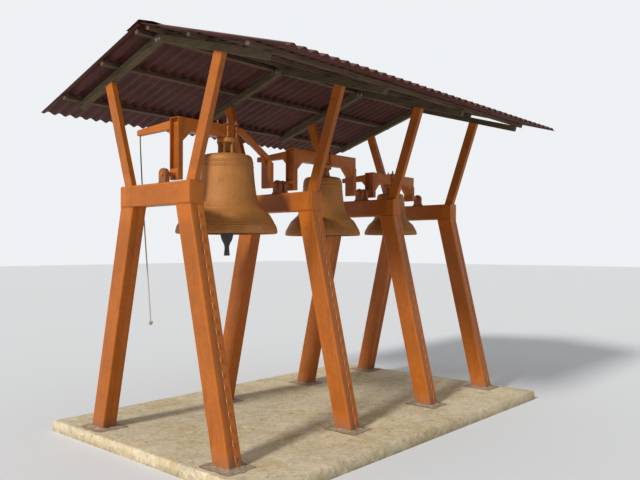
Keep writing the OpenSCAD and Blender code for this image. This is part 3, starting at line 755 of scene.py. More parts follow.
def old_concrete():
    """Trowelled concrete left outdoors: cloudy buff with ochre and dark stains, trowel marks, sand grains and
    pits."""
    base, stain = setting("concrete"), setting("concrete_stain")
    m = Finish("weathered_concrete")
    clouds = m.noise(1.6, 8, 0.62)
    ochre = m.noise(2.3, 8, 0.72, warp=0.6)
    stains = m.noise(6, 8, 0.74, warp=0.8)
    marks = m.noise(17, 7, 0.72, warp=1.0)
    sand = m.noise(240, 4, 0.75)
    colour = m.ramp(clouds, [(0.3, tint(base, 0.82)), (0.5, base), (0.7, tint(base, 1.15))])
    colour = m.over(colour, ochre, 0.48, 0.62, 0.75, setting("concrete_ochre"))
    colour = m.over(colour, stains, 0.54, 0.7, 0.5, stain)
    colour = m.over(colour, marks, 0.54, 0.64, 0.55, tint(stain, 0.85))
    colour = m.over(colour, marks, 0.47, 0.36, 0.7, tint(base, 1.35))
    colour = m.over(colour, sand, 0.5, 0.75, 0.5, tint(base, 1.4))
    colour = m.over(colour, sand, 0.42, 0.28, 0.55, tint(base, 0.45))
    damp = m.times(m.between(m.height(), 0.06, 0.0), m.between(m.noise(14, 6, 0.7), 0.25, 0.6))
    colour = m.blend(m.times(damp, 0.7), colour, tint(stain, 0.7))
    pits = m.between(m.noise(34, 2, 0.5), 0.715, 0.75)
    colour = m.blend(m.times(pits, 0.85), colour, tint(base, 0.2))
    m.relief((clouds, 0.004), (marks, 0.003), (sand, 0.0009), (pits, -0.004))
    return m.done(colour, m.between(clouds, 0.3, 0.7, 0.8, 0.95))


def foot_mortar():
    """Brown, coarse mortar that fills the pockets round the feet, with pale lime bits and grit showing."""
    base = setting("mortar")
    m = Finish("foot_mortar")
    lumps = m.noise(26, 7, 0.7)
    grit = m.noise(260, 4, 0.75)
    colour = m.ramp(lumps, [(0.3, tint(base, 0.5)), (0.52, base), (0.7, tint(base, 1.3))])
    colour = m.over(colour, m.noise(44, 6, 0.75), 0.58, 0.64, 0.8, tint(setting("concrete"), 1.1))
    colour = m.over(colour, grit, 0.55, 0.75, 0.5, tint(base, 1.7))
    m.relief((lumps, 0.008), (grit, 0.001))
    return m.done(colour, m.between(grit, 0.3, 0.7, 0.85, 0.97))


def pocket_joint():
    """The dark gap that has opened round each pocket's filling."""
    m = Finish("pocket_joint")
    dirt = m.noise(60, 6, 0.7)
    base = tint(setting("mortar"), 0.2)
    m.relief((dirt, 0.004),)
    return m.done(m.ramp(dirt, [(0.4, tint(base, 0.5)), (0.55, base), (0.68, setting("mortar"))]), 0.95)


FINISHES = {
    "brushed_steel_paint": steel_paint, "painted_weld": weld_paint, "seam_weld": seam_weld,
    "bearing_paint": bearing_paint, "sawn_rafter": rafter_timber, "sawn_batten": batten_timber,
    "roofing_film": sheet_coat, "zinc_screw": zinc_screw, "weathered_bronze": bell_bronze,
    "bell_inside": bell_core, "rusted_iron": rusty_iron, "dark_iron": dark_iron, "rod_primer": red_lead,
    "rope_fibre": rope_fibre, "weathered_concrete": old_concrete, "foot_mortar": foot_mortar,
    "pocket_joint": pocket_joint}


def finish_of(name):
    """The material of that name, made on first use."""
    return bpy.data.materials.get(name) or FINISHES[name]()


# Settings

class TowerFrameSettings(bpy.types.PropertyGroup):
    """Sizes of the welded steel frame's finish."""
    corner: FloatProperty(name="Corner radius", description="Rounding of the legs' and beams' channels",
                          default=0.014, min=0.004, max=0.03, unit="LENGTH")
    stitch_pitch: FloatProperty(name="Stitch pitch", description="Distance between the short welds of a seam",
                                default=0.10, min=0.06, max=0.4, unit="LENGTH")
    stitch_length: FloatProperty(name="Stitch length", description="Length of one short weld",
                                 default=0.05, min=0.02, max=0.2, unit="LENGTH")
    bead: FloatProperty(name="Bead radius", description="Radius of the weld round a joint",
                        default=0.0045, min=0.002, max=0.01, unit="LENGTH")
    cap_plate: FloatProperty(name="Cap plate", description="Thickness of the plates on the beams' ends",
                             default=0.006, min=0.003, max=0.012, unit="LENGTH")


class TowerRoofSettings(bpy.types.PropertyGroup):
    """Sizes of the roof covering."""
    wave_pitch: FloatProperty(name="Wave pitch", description="Distance from crest to crest", default=0.111,
                              min=0.076, max=0.15, unit="LENGTH")
    wave_height: FloatProperty(name="Wave height", description="Height from valley to crest", default=0.027,
                               min=0.015, max=0.027, unit="LENGTH")
    gauge: FloatProperty(name="Gauge", description="Thickness of the sheet", default=0.0007,
                         min=0.0004, max=0.001, precision=4, unit="LENGTH")
    sheet_waves: IntProperty(name="Waves in a sheet", description="Waves between two side laps", default=7,
                             min=4, max=12)
    screw_waves: IntProperty(name="Waves between screws", description="Crests from one screw to the next",
                             default=3, min=1, max=6)


class TowerBellSettings(bpy.types.PropertyGroup):
    """Sizes of the bells and their hanging."""
    ring: FloatProperty(name="Ring height", description="How far a cast ring stands out of the wall",
                        default=0.004, min=0.001, max=0.008, unit="LENGTH")
    sides: IntProperty(name="Sides", description="Columns round a bell's wall", default=144, min=48, max=200)
    strand_pitch: FloatProperty(name="Strand pitch", description="Length in which a rope strand turns once",
                                default=0.042, min=0.02, max=0.09, unit="LENGTH")
    rope: FloatProperty(name="Rope diameter", description="Diameter of the bell rope", default=0.012,
                        min=0.008, max=0.016, unit="LENGTH")


class TowerStageSettings(bpy.types.PropertyGroup):
    """The camera and the light."""
    camera: FloatVectorProperty(name="Camera", description="Where the camera stands",
                                default=(4.638, -5.173, 1.700), subtype="TRANSLATION", unit="LENGTH")
    turn: FloatProperty(name="Turn", description="Turn of the view from the ridge's direction",
                        default=0.7258, subtype="ANGLE")
    tilt: FloatProperty(name="Tilt", description="Tilt of the view over the horizon", default=0.0125,
                        subtype="ANGLE")
    lens: FloatProperty(name="Lens", description="Focal length on a 36 mm wide sensor", default=37.84,
                        min=10, max=200)
    sun: FloatProperty(name="Key light", description="Strength of the key light", default=2.6, min=0, max=10)
    sky: FloatProperty(name="Fill light", description="Strength of the light from all round", default=0.42,
                       min=0, max=3)


def shade(label, *value):
    """A colour setting with its default."""
    return FloatVectorProperty(name=label, description=label + " colour", default=value, subtype="COLOR",
                               min=0, max=1)


class TowerColours(bpy.types.PropertyGroup):
    """Colours of the finishes."""
    paint: shade("Paint", 0.45, 0.123, 0.014)
    # Dirt on paint, and also the colour of the painted shade under the bearings
    paint_dirt_and_shade: shade("Dirt on paint", 0.14, 0.038, 0.010)
    bearing: shade("Bearing paint", 0.32, 0.095, 0.028)
    dust: shade("Dust", 0.30, 0.25, 0.19)
    rust: shade("Rust", 0.17, 0.062, 0.025)
    rafter: shade("Rafter timber", 0.13, 0.094, 0.052)
    # Batten timber: weathered timber, darkened further as painted shade for the shade under the roof
    batten: shade("Batten timber", 0.14, 0.09, 0.055)
    # Seam weld: a painted highlight, the pale sheen of the painted beads
    seam_weld: shade("Seam weld", 0.58, 0.33, 0.15)
    sheet: shade("Roof sheet", 0.085, 0.024, 0.018)
    bronze: shade("Bronze", 0.43, 0.178, 0.045)
    verdigris: shade("Verdigris", 0.20, 0.30, 0.22)
    rod_primer: shade("Rod primer", 0.50, 0.15, 0.07)
    rope: shade("Rope", 0.70, 0.64, 0.54)
    concrete: shade("Concrete", 0.66, 0.55, 0.36)
    concrete_ochre: shade("Concrete, ochre stain", 0.52, 0.37, 0.16)
    concrete_stain: shade("Concrete, dark stain", 0.30, 0.24, 0.15)
    mortar: shade("Mortar", 0.36, 0.27, 0.175)
    floor: shade("Floor", 0.80, 0.80, 0.79)


# Pieces

def painted(name, parts, body, nodes, grain=Z, seed=0.0):
    """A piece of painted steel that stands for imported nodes."""
    return piece(name, parts, finish_of("brushed_steel_paint"), body, nodes, grain, seed)


def welded(name, beads, body):
    """The weld beads of a member, as a piece of their own."""
    return piece(name, beads, finish_of("painted_weld"), body)


def weld_outline(width, depth, radius):
    """A rounded rectangle that ends where it starts, for a weld all round a member."""
    ring = rounded(rectangle(width, depth), radius)
    return np.vstack([ring, ring[:1]])


def side_weld(x, start, end, radius):
    """A straight bead at one distance across the row; its ends are places along the row and heights."""
    return weld([(x, *start), (x, *end)], radius)


def bell_body(k):
    """The moving body that a bell, its yoke and its lever ride on."""
    return f"swinging_bell_{k}"


def pad_shape():
    """Top: a grid whose height dips by a sum of sines. Sides: the grid's rim carried outwards and down a
    quarter circle, which another sum of sines wears unevenly, and then straight down."""
    lowest, highest = low("foundation_slab"), high("foundation_slab")
    middle, half = (lowest + highest) / 2, (highest - lowest) / 2 - PAD_EDGE
    across = np.linspace(lowest[0] + PAD_EDGE, highest[0] - PAD_EDGE, 141)
    along = np.linspace(lowest[1] + PAD_EDGE, highest[1] - PAD_EDGE, 213)
    x, y = np.meshgrid(across, along, indexing="ij")
    waves = (2 + np.sin(2.1 * x + 1.7 * y) + np.sin(5.3 * y - 3.1 * x + 1) * 0.7
             + np.sin(17 * x) * np.sin(13 * y) * 0.3)
    top = np.stack([x, y, highest[2] - PAD_DIP * waves], -1)
    index = np.arange(x.size).reshape(x.shape)
    rim = np.concatenate([index[:, 0], index[-1, 1:], index[-2::-1, -1], index[0, -2:0:-1]])
    place = top.reshape(-1, 3)[rim]
    offset = place - middle
    outwards = np.where(np.isclose(np.abs(offset), half), np.sign(offset), 0) * (1, 1, 0)
    k = np.arange(len(rim))
    wear = (0.5 + 0.22 * np.sin(0.37 * k) + 0.28 * np.sin(1.13 * k + 2) * np.sin(0.051 * k)
            + 0.2 * np.sin(2.3 * k) * np.sin(0.17 * k))
    sides = []
    for turn, worn in ((0.4, True), (0.8, True), (1.2, True), (math.pi / 2, False)):
        reach = PAD_EDGE * math.sin(turn) * (1 - 0.25 * wear * worn)
        drop = PAD_EDGE * (1 - math.cos(turn)) * (1 + 0.8 * wear)
        sides.append(place + outwards * reach[:, None] - Z * drop[:, None])
    sides.append(sides[-1] * (1, 1, 0) + Z * lowest[2])
    numbers = x.size + np.arange(len(sides) * len(rim)).reshape(len(sides), len(rim))
    walls = cells(np.vstack([rim, numbers]), closed=True)
    faces = [cells(index)[:, ::-1], walls[:, ::-1], numbers[-1:, ::-1]]
    return np.concatenate([top.reshape(-1, 3), *sides]), faces


class TOWER_OT_pad(bpy.types.Operator):
    """The concrete pad, with a slightly uneven top and worn edges"""
    bl_idname = "tower.pad"
    bl_label = "Concrete pad"

    def execute(self, context):
        """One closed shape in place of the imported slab."""
        piece("pad", [pad_shape()], finish_of("weathered_concrete"), FRAME, ["foundation_slab"])
        return {"FINISHED"}


def leg_place(k, side):
    """Middle of a leg's foot, the leg's lean, and its depth along the row."""
    front, back = low(f"trestle_{k}_beam")[1], high(f"trestle_{k}_beam")[1]
    return (side * (FOOT_HALF - LEG_CUT / 2), (front + back) / 2), -side * LEG_LEAN, back - front


def pocket_reach(aim, half_across, half_along):
    """Distance from the middle of a rounded rectangle to its rim, in each direction of aim: each part of aim
    over its half size to a high power, both added, and then to minus one over that power."""
    return (np.abs(aim / (half_across, half_along))**POCKET_POWER).sum(1)**(-1 / POCKET_POWER)


def at_height(outline, z):
    """An outline's points over the ground, all at one height or each at its own."""
    return np.column_stack([outline, np.broadcast_to(z, len(outline))])


def pocket_shapes(k, side):
    """A foot's mortar and the gap round it. Mortar: rows from the foot out to a rim that wanders a little.
    Its height falls as the exponential of minus the square of the share of the way. Gap: a strip by the
    rim."""
    angle = np.linspace(0, 2 * math.pi, 132, endpoint=False)
    aim = np.column_stack([np.cos(angle), np.sin(angle)])
    foot, _, depth = leg_place(k, side)
    play, rise, step, gap = 0.002, 0.010, 0.0012, 0.005
    inner = pocket_reach(aim, LEG_CUT / 2 - play, depth / 2 - play)
    wander = (0.006 * np.sin(3 * angle + k + side) + 0.004 * np.sin(7 * angle + 2 * k)
              + 0.002 * np.sin(19 * angle + side))
    outer = pocket_reach(aim, LEG_CUT / 2 + POCKET_ACROSS, depth / 2 + POCKET_ALONG) + wander
    lump = 1 + 0.5 * np.sin(5 * angle + 2 * k) * np.sin(3 * angle + side)
    share = np.linspace(0, 1, 9)[:, None]
    heights = PAD_TOP + 0.0008 + rise * np.exp(-(share / 0.3)**2) * lump + step * (1 - share)
    rows = foot + aim * (inner + (outer - inner) * share)[..., None]
    shell = [at_height(row, z) for row, z in zip(rows, heights)]
    sunk = [at_height(row, PAD_TOP - POCKET_DEPTH) for row in (rows[-1], rows[0])]
    rim = foot + aim * (outer + gap + 0.002 * np.sin(11 * angle + k))[:, None]
    strip = [at_height(rows[-1], PAD_TOP - 0.01), at_height(rows[-1], PAD_TOP + 0.0006),
             at_height(rim, PAD_TOP + 0.0002), at_height(rim, PAD_TOP - 0.01)]
    return surface(np.stack(shell + sunk), looped=True), surface(np.stack(strip), looped=True)


class TOWER_OT_mortar(bpy.types.Operator):
    """Mortar packed round the feet of the legs"""
    bl_idname = "tower.mortar"
    bl_label = "Mortar round the feet"

    def execute(self, context):
        """One piece of mortar and one of gaps for each trestle."""
        for k in TRESTLES:
            fillings, gaps = zip(*[pocket_shapes(k, side) for side in SIDES.values()])
            piece(f"foot_mortar_{k}", fillings, finish_of("foot_mortar"), FRAME)
            piece(f"foot_joint_{k}", gaps, finish_of("pocket_joint"), FRAME)
        return {"FINISHED"}


class TOWER_OT_legs(bpy.types.Operator):
    """The eight leaning legs, each a box of two channels with its stitched seams"""
    bl_idname = "tower.legs"
    bl_label = "Legs"

    def execute(self, context):
        """Leg: a notched rounded rectangle carried up its lean. Seam: short beads at an even pitch in the
        notch. Weld: the leg's outline under the beam, held in at the beam's end."""
        s = context.scene.tower_frame
        inset, ends, drop = 0.0012, 0.03, 0.002
        for k in TRESTLES:
            for name, side in SIDES.items():
                foot, lean, depth = leg_place(k, side)
                rise = np.array([lean, 0, 1])
                leg = leaning(seamed_box(LEG_CUT, depth, s.corner), foot, lean, PAD_TOP, LEG_TOP, rows=24)
                painted(f"leg_{k}_{name}", [leg], FRAME, [f"trestle_{k}_{name}_leg"], rise, k + 5 * side)
                seams = []
                for face in (-1, 1):
                    start = np.array([foot[0] + face * (LEG_CUT / 2 - inset), foot[1], PAD_TOP + ends])
                    end = start + rise * (LEG_TOP - PAD_TOP - 2 * ends)
                    seams += stitches(start, end, s.stitch_pitch, s.stitch_length, radius=0.0026)
                piece(f"leg_{k}_{name}_stitches", seams, finish_of("seam_weld"), FRAME)
                ring = weld_outline(LEG_CUT, depth, s.corner)
                x = ring[:, 0] + foot[0] + lean * (LEG_TOP - drop - PAD_TOP)
                x = np.clip(x, 0.001 - BEAM_HALF, BEAM_HALF - 0.001)
                loop = np.column_stack([x, ring[:, 1] + foot[1], np.full(len(ring), LEG_TOP - drop)])
                welded(f"leg_{k}_{name}_welds", [weld(loop, s.bead, looped=True)], FRAME)
        return {"FINISHED"}


class TOWER_OT_beams(bpy.types.Operator):
    """The four cross beams, with cap plates on their ends"""
    bl_idname = "tower.beams"
    bl_label = "Cross beams"

    def execute(self, context):
        """Beam: the notched outline carried across the row. Cap plates: thin rounded blocks on its ends."""
        s = context.scene.tower_frame
        play, inset, ends = 0.004, 0.0012, 0.03
        reach = BEAM_HALF - s.cap_plate
        inner = BEAM_HALF - LEG_CUT - ends
        for k in TRESTLES:
            lowest, highest = low(f"trestle_{k}_beam"), high(f"trestle_{k}_beam")
            middle = (lowest + highest) / 2
            depth, height = highest[1] - lowest[1], highest[2] - lowest[2]
            outline = seamed_box(height, depth, s.corner)
            x = np.linspace(-reach, reach, 16)[:, None, None]
            parts = [surface(middle + x * X + outline[None, :, :1] * Z + outline[None, :, 1:] * Y)]
            plate = rectangle(height - play, depth - play)
            parts += [prism(plate, 0.010, middle, Z, Y, X * side, reach - 0.001, BEAM_HALF, edge=0.0012)
                      for side in (-1, 1)]
            painted(f"beam_{k}", parts, FRAME, [f"trestle_{k}_beam"], X, k)
            beads = []
            for z in (lowest[2] + inset, highest[2] - inset):
                start, end = (-inner, middle[1], z), (inner, middle[1], z)
                beads += stitches(start, end, s.stitch_pitch, s.stitch_length, radius=0.0032)
            ring = weld_outline(height - play, depth - play, 0.012)
            for side in (-1, 1):
                loop = middle + side * (reach + 0.0002) * X + ring[:, :1] * Z + ring[:, 1:] * Y
                beads.append(weld(loop, radius=0.0028, looped=True))
            welded(f"beam_{k}_welds", beads, FRAME)
        return {"FINISHED"}


class TOWER_OT_arms(bpy.types.Operator):
    """The outward-leaning channel arms that carry the roof"""
    bl_idname = "tower.arms"
    bl_label = "Arms"

    def execute(self, context):
        """Arm: a channel outline, widened by its lean and carried up until each line meets the rafter."""
        s = context.scene.tower_frame
        half, base = ARM_WIDTH / ARM_COS / 2, BEAM_TOP + 0.001
        for k in TRESTLES:
            front, back = low(f"trestle_{k}_arms")[1], high(f"trestle_{k}_arms")[1]
            outline = channel(ARM_WIDTH, back - front, ARM_WEB, ARM_FLANGE) * (1 / ARM_COS, 1)
            parts, beads = [], []
            for side in (-1, 1):
                middle, lean = side * (BEAM_HALF - half), side * ARM_LEAN
                parts.append(leaning(outline, (middle, front), lean, BEAM_TOP, arm_end(side), rows=16))
                left, right = middle - half, middle + half
                beads.append(weld([(left, front, base), (right, front, base)], s.bead))
                beads += [weld([(x, front, base), (x, back, base)], s.bead) for x in (left, right)]
            painted(f"arms_{k}", parts, FRAME, [f"trestle_{k}_arms"], Z, 2.3 * k)
            welded(f"arms_{k}_welds", beads, FRAME)
        return {"FINISHED"}


def rafter_shape(side, y, depth):
    """A sawn rectangle carried down the slope from the ridge. Each line of it ends further out the higher it
    lies, which cuts the tail square, and the last row draws in, so that the tail's edges are worn."""
    rise = RAFTER_HEIGHT / ROOF_COS
    outline = rounded(rectangle(depth, rise), 0.003, steps=2, support=0.001)
    along, share = outline[None, :, 0], outline[None, :, 1] / rise
    down = np.concatenate([np.linspace(0, 1, 24)[:-1], [0.9988, 1]])[:, None]
    draw = np.where(np.arange(25) == 24, 0.955, 1)[:, None]
    ridge_gap = 0.0005
    end = TAIL_LOW + (share + 0.5) * (RAFTER_REACH - TAIL_LOW)
    x = ridge_gap + down * (end - ridge_gap)
    z = under_rafter(x) + (share * draw + 0.5) * rise
    return surface(np.stack([side * x, y + along * draw, z], -1))


class TOWER_OT_rafters(bpy.types.Operator):
    """The rafter pairs, sawn timbers that meet under the ridge, with square-cut tails"""
    bl_idname = "tower.rafters"
    bl_label = "Rafters"

    def execute(self, context):
        """Two rafters for each trestle, and two bolts in each face of their joint."""
        bolt_across, bolt_rise = 0.022, 0.018
        for k in TRESTLES:
            front, back = low(f"rafter_pair_{k}")[1], high(f"rafter_pair_{k}")[1]
            y, depth = (front + back) / 2, back - front
            pair = [rafter_shape(side, y, depth) for side in (-1, 1)]
            piece(f"rafters_{k}", pair, finish_of("sawn_rafter"), FRAME, [f"rafter_pair_{k}"],
                  X, 7.1 + k)
            bolts = []
            for face in (-1, 1):
                for x in (-bolt_across, bolt_across):
                    at = (x, y + face * depth / 2, RIDGE_UNDER + bolt_rise)
                    bolts += hexagon(at, face * Y, across=0.017, height=0.008, washer=0.015)
            piece(f"rafters_{k}_bolts", bolts, finish_of("zinc_screw"), FRAME)
        return {"FINISHED"}


def batten_shape(at, side):
    """A sawn batten: a barely rounded rectangle set square on the slope and carried along the ridge with a
    slight bow."""
    length = high("ridge_battens")[1] - low("ridge_battens")[1]
    outline = rounded(rectangle(BATTEN_WIDTH, BATTEN_HEIGHT), 0.0018, steps=2, support=0.001)
    y = np.linspace(-length / 2, length / 2, 60)[:, None]
    bow = 0.0009 * np.sin(3.1 * y + 9 * at)
    down = outline[None, :, 0] * side + bow
    lift = outline[None, :, 1] + BATTEN_HEIGHT / 2
    x = side * at + down * ROOF_COS + side * lift * ROOF_SIN
    z = under_rafter(at) + RAFTER_HEIGHT / ROOF_COS + SEAT - side * down * ROOF_SIN + lift * ROOF_COS
    return surface(np.stack(np.broadcast_arrays(x, y, z), -1))


class TOWER_OT_battens(bpy.types.Operator):
    """The sawn battens under the roof sheets"""
    bl_idname = "tower.battens"
    bl_label = "Battens"

    def execute(self, context):
        """The pair at the ridge is one piece, and each of the others is its own."""
        wood = finish_of("sawn_batten")
        pair = [batten_shape(RIDGE_BATTEN, side) for side in (-1, 1)]
        piece("ridge_pair", pair, wood, FRAME, ["ridge_battens"], Y, 1)
        for place, at in (("middle", MIDDLE_BATTEN), ("eave", EAVE_BATTEN)):
            for name, side in SIDES.items():
                piece(f"{place}_{name}", [batten_shape(at, side)], wood, FRAME,
                      [f"{place}_batten_{name}"], Y, at + side)
        return {"FINISHED"}


def on_slope(side, down, y, lift):
    """Point on a roof slope: down it from the sheets' upper edge, along the ridge, and off it by lift."""
    base = RIDGE_UNDER + (RAFTER_HEIGHT + BATTEN_HEIGHT) / ROOF_COS + 2 * SEAT - ROOF_SLOPE * SHEET_JOINT
    x = side * (SHEET_JOINT + down * ROOF_COS + lift * ROOF_SIN)
    return np.stack(np.broadcast_arrays(x, y, base - down * ROOF_SIN + lift * ROOF_COS), -1)


def sheet_shapes(r, side):
    """A slope's sheets: a wave of one minus a cosine along the ridge, as a thin closed outline carried down
    the slope. Each sheet reaches half a wave into the next, and every second one lies a gauge higher."""
    run = (high("roof_sheet_right")[0] - r.wave_height * ROOF_SIN - SHEET_JOINT - 0.0005) / ROOF_COS
    width, lap = r.sheet_waves * r.wave_pitch, 0.55 * r.wave_pitch
    edges = np.append(np.arange(-ROOF_HALF, ROOF_HALF - width / 2, width), ROOF_HALF)
    parts = []
    for n, start in enumerate(edges[:-1]):
        end = edges[n + 1] if n == len(edges) - 2 else edges[n + 1] + lap
        y = np.linspace(start, end, int((end - start) / r.wave_pitch * 14) + 1)
        lift = 0.0001 + (r.gauge + 0.0002) * (n % 2)
        wave = lift + r.wave_height * WAVE_SHARE * (1 - np.cos(2 * math.pi * y / r.wave_pitch)) / 2
        around = np.concatenate([y, y[::-1]])[None, :]
        height = np.concatenate([wave, wave[::-1] + r.gauge])[None, :]
        down = np.linspace(0, run - 0.0015 * (1 + math.sin(4.1 * n + side)), 18)[:, None]
        ripple = np.abs(0.00018 * np.sin(5.2 * down + 1.3 * n) * np.sin(21 * around))
        parts.append(surface(on_slope(side, down, around, height + ripple)))
    return parts


def screw_shapes(r, side):
    """A slope's screws, on every few crests: a row near the ridge and one over each lower batten."""
    count = math.ceil(ROOF_HALF / r.wave_pitch)
    crests = (np.arange(-count, count) + 0.5) * r.wave_pitch
    crests = crests[np.abs(crests) < ROOF_HALF - 0.03][1::r.screw_waves]
    crest_top = r.wave_height * WAVE_SHARE + r.gauge + 0.0004
    normal = np.array([side * ROOF_SIN, 0, ROOF_COS])
    parts = []
    for at in (TOP_SCREWS, MIDDLE_BATTEN, EAVE_BATTEN):
        for y in crests:
            foot = on_slope(side, (at - SHEET_JOINT) / ROOF_COS, y, crest_top)
            parts += hexagon(foot, normal, across=0.008, height=0.0045, washer=0.0085)
    return parts


class TOWER_OT_sheets(bpy.types.Operator):
    """The corrugated sheets of both slopes, side-lapped, with their screws"""
    bl_idname = "tower.sheets"
    bl_label = "Roof sheets"

    def execute(self, context):
        """One piece of sheets and one of screws for each slope."""
        r = context.scene.tower_roof
        for name, side in SIDES.items():
            piece(f"sheets_{name}", sheet_shapes(r, side), finish_of("roofing_film"), FRAME,
                  [f"roof_sheet_{name}"], Y, side)
            piece(f"screws_{name}", screw_shapes(r, side), finish_of("zinc_screw"), FRAME)
        return {"FINISHED"}


class TOWER_OT_ridge(bpy.types.Operator):
    """The folded ridge cap"""
    bl_idname = "tower.ridge"
    bl_label = "Ridge cap"

    def execute(self, context):
        """Cap: the outline of a bent strip with hemmed edges, carried along the ridge with a slow ripple."""
        lowest, highest = low("ridge_cap"), high("ridge_cap")
        share = np.array([0, 0.03, 0.06, 0.3, 0.6, 0.9, 0.97, 1.0])
        hem = CAP_THICK * np.clip((share - 0.94) / 0.06, 0, 1)
        x = highest[0] * share
        z = highest[2] - CAP_THICK - np.maximum(x - 0.004, 0) * ROOF_SLOPE - 0.0004 + hem
        upper = np.column_stack([np.concatenate([-x[:0:-1], x]), np.concatenate([z[:0:-1], z])])
        outline = np.concatenate([upper, upper[::-1] - (0, CAP_THICK)])[None]
        y = np.linspace(lowest[1], highest[1], 90)[:, None]
        sag = 0.0004 * (1 + np.sin(6 * y) * np.cos(19 * outline[..., 0]))
        points = np.stack(np.broadcast_arrays(outline[..., 0], y, outline[..., 1] - sag), -1)
        piece("ridge_fold", [surface(points)], finish_of("roofing_film"), FRAME,
              ["ridge_cap"], Y, 3)
        return {"FINISHED"}


def housing_shape(start, end, bore):
    """A bearing's body: an outline with straight sides and a round head, swept through rows along its outer
    face, its inner face and the bore between them."""
    rise = AXIS_Z - BEAM_TOP
    turn = np.linspace(math.radians(-4), math.radians(184), 40)
    arch = np.column_stack([HOUSING_RADIUS * np.cos(turn), rise + HOUSING_RADIUS * np.sin(turn)])
    cheek = np.array([(0.0458, 0.0135), (0.0455, 0.024), (0.0455, 0.045)])
    outline = np.concatenate([arch, cheek[::-1] * (-1, 1), cheek]) - (0, rise)
    angle = np.unwrap(np.arctan2(outline[:, 1], outline[:, 0]))
    hole = bore * np.column_stack([np.cos(angle), np.sin(angle)])
    places, insets = layers(start, end, 0.003)
    rows = [(outline * (1 - inset / HOUSING_RADIUS), place) for place, inset in zip(places, insets)]
    rows += [(hole, places[-1]), (hole, places[0])]
    points = [row[:, :1] * X + place * Y + (AXIS_Z + row[:, 1:]) * Z for row, place in rows]
    return surface(np.stack(points), looped=True)


def bearing_shapes(y, outer):
    """A plummer block: foot plate, body, cover ring with its four screws, bolts and grease nipple. Outer says
    which way its cover faces along the row."""
    half, bore = FOOT_WIDTH / 2, GUDGEON_RADIUS + GUDGEON_GAP
    start, end = y - BEARING_DEPTH / 2, y + BEARING_DEPTH / 2
    parts = [block((-half, start, BEAM_TOP), (half, end, BEAM_TOP + FOOT_THICK), radius=0.006)]
    cover_inset, back_inset, cover_rise = 0.004, 0.0008, 0.0022
    insets = (cover_inset, back_inset) if outer < 0 else (back_inset, cover_inset)
    parts.append(housing_shape(start + insets[0], end - insets[1], bore))
    plane = start + cover_inset if outer < 0 else end - cover_inset
    ring = [(bore + 0.0006, -0.001), (0.037, -0.001), (0.037, 0.0014), (0.0362, cover_rise),
            (bore + 0.003, cover_rise), (bore + 0.0006, 0.0012)]
    parts.append(turned(ring, (0, plane, AXIS_Z), Y * outer, 40, caps=False))
    screw, circle = [(0.0046, -0.001), (0.0046, 0.0013), (0.0041, 0.0017)], 0.0295
    for angle in np.radians([45, 135, 225, 315]):
        x, z = circle * math.cos(angle), AXIS_Z + circle * math.sin(angle)
        parts.append(turned(screw, (x, plane + outer * cover_rise, z), Y * outer, 6))
    bolt = 0.0525
    for x in (-bolt, bolt):
        parts += hexagon((x, y, BEAM_TOP + FOOT_THICK), Z, across=0.0125, height=0.008, washer=0.0068)
    nipple = [(0.004, -0.002), (0.004, 0.004), (0.002, 0.005), (0.0028, 0.0075), (0.0015, 0.009)]
    parts.append(turned(nipple, (0, y, AXIS_Z + HOUSING_RADIUS - 0.001), Z, 10))
    return parts


class TOWER_OT_bearings(bpy.types.Operator):
    """The bearings on the cross beams"""
    bl_idname = "tower.bearings"
    bl_label = "Bearings"

    def execute(self, context):
        """One bearing on each end beam and two on each of the others, with the cover away from its bell."""
        for k in TRESTLES:
            parts = []
            if k < TRESTLES[-1]:
                parts += bearing_shapes(high(f"bearings_{k}")[1] - BEARING_DEPTH / 2, -1)
            if k > TRESTLES[0]:
                parts += bearing_shapes(low(f"bearings_{k}")[1] + BEARING_DEPTH / 2, 1)
            piece(f"plummer_blocks_{k}", parts, finish_of("bearing_paint"), FRAME,
                  [f"bearings_{k}"], Z, 0.7 * k)
        return {"FINISHED"}


class TOWER_OT_gudgeons(bpy.types.Operator):
    """The gudgeons, with the blocks in the feet of the yoke posts"""
    bl_idname = "tower.gudgeons"
    bl_label = "Gudgeons"

    def execute(self, context):
        """Shaft: a turned profile with a chamfered end, in a round weld. Block: a rounded box in the post."""
        inner, depth, chamfer = POST_WIDTH / 2 - POST_WALL, POST_DEPTH - POST_WALL, 0.0015
        for k in BELLS:
            near, far, foot = yoke_sizes(k)[:3]
            lowest, highest = low(f"gudgeons_{k}"), high(f"gudgeons_{k}")
            top = lowest[2] + GUDGEON_BLOCK
            blocks, shafts, beads = [], [], []
            for face, outwards, end in ((near, -1, lowest[1]), (far, 1, highest[1])):
                reach = abs(end - face)
                front, back = sorted((face, face - outwards * depth))
                blocks.append(block((-inner, front + 0.0005, foot), (inner, back, top), edge=0.0025))
                profile = [(GUDGEON_RADIUS, -0.002), (GUDGEON_RADIUS, reach - chamfer),
                           (GUDGEON_RADIUS - chamfer, reach), (0.006, reach), (0.004, reach - 0.003)]
                shafts.append(turned(profile, (0, face, AXIS_Z), Y * outwards, 48))
                turn, round_shaft = np.linspace(0, 2 * math.pi, 48), GUDGEON_RADIUS + 0.001
                loop = np.column_stack([round_shaft * np.cos(turn), np.full(48, face + outwards * 0.001),
                                        AXIS_Z + round_shaft * np.sin(turn)])
                beads.append(weld(loop, BLOCK_BEAD, looped=True))
            painted(f"gudgeon_blocks_{k}", blocks, bell_body(k), [f"gudgeons_{k}"], Z, k)
            piece(f"gudgeon_shafts_{k}", shafts, finish_of("brushed_steel_paint"), bell_body(k),
                  (), Y, k)
            welded(f"gudgeon_welds_{k}", beads, bell_body(k))
        return {"FINISHED"}


def yoke_sizes(k):
    """Near and far face, foot, top and underside of a yoke; the bell's crown meets the underside."""
    posts = f"yoke_posts_{k}"
    return low(posts)[1], high(posts)[1], low(posts)[2], high(f"yoke_beam_{k}")[2], high(f"bell_{k}")[2]


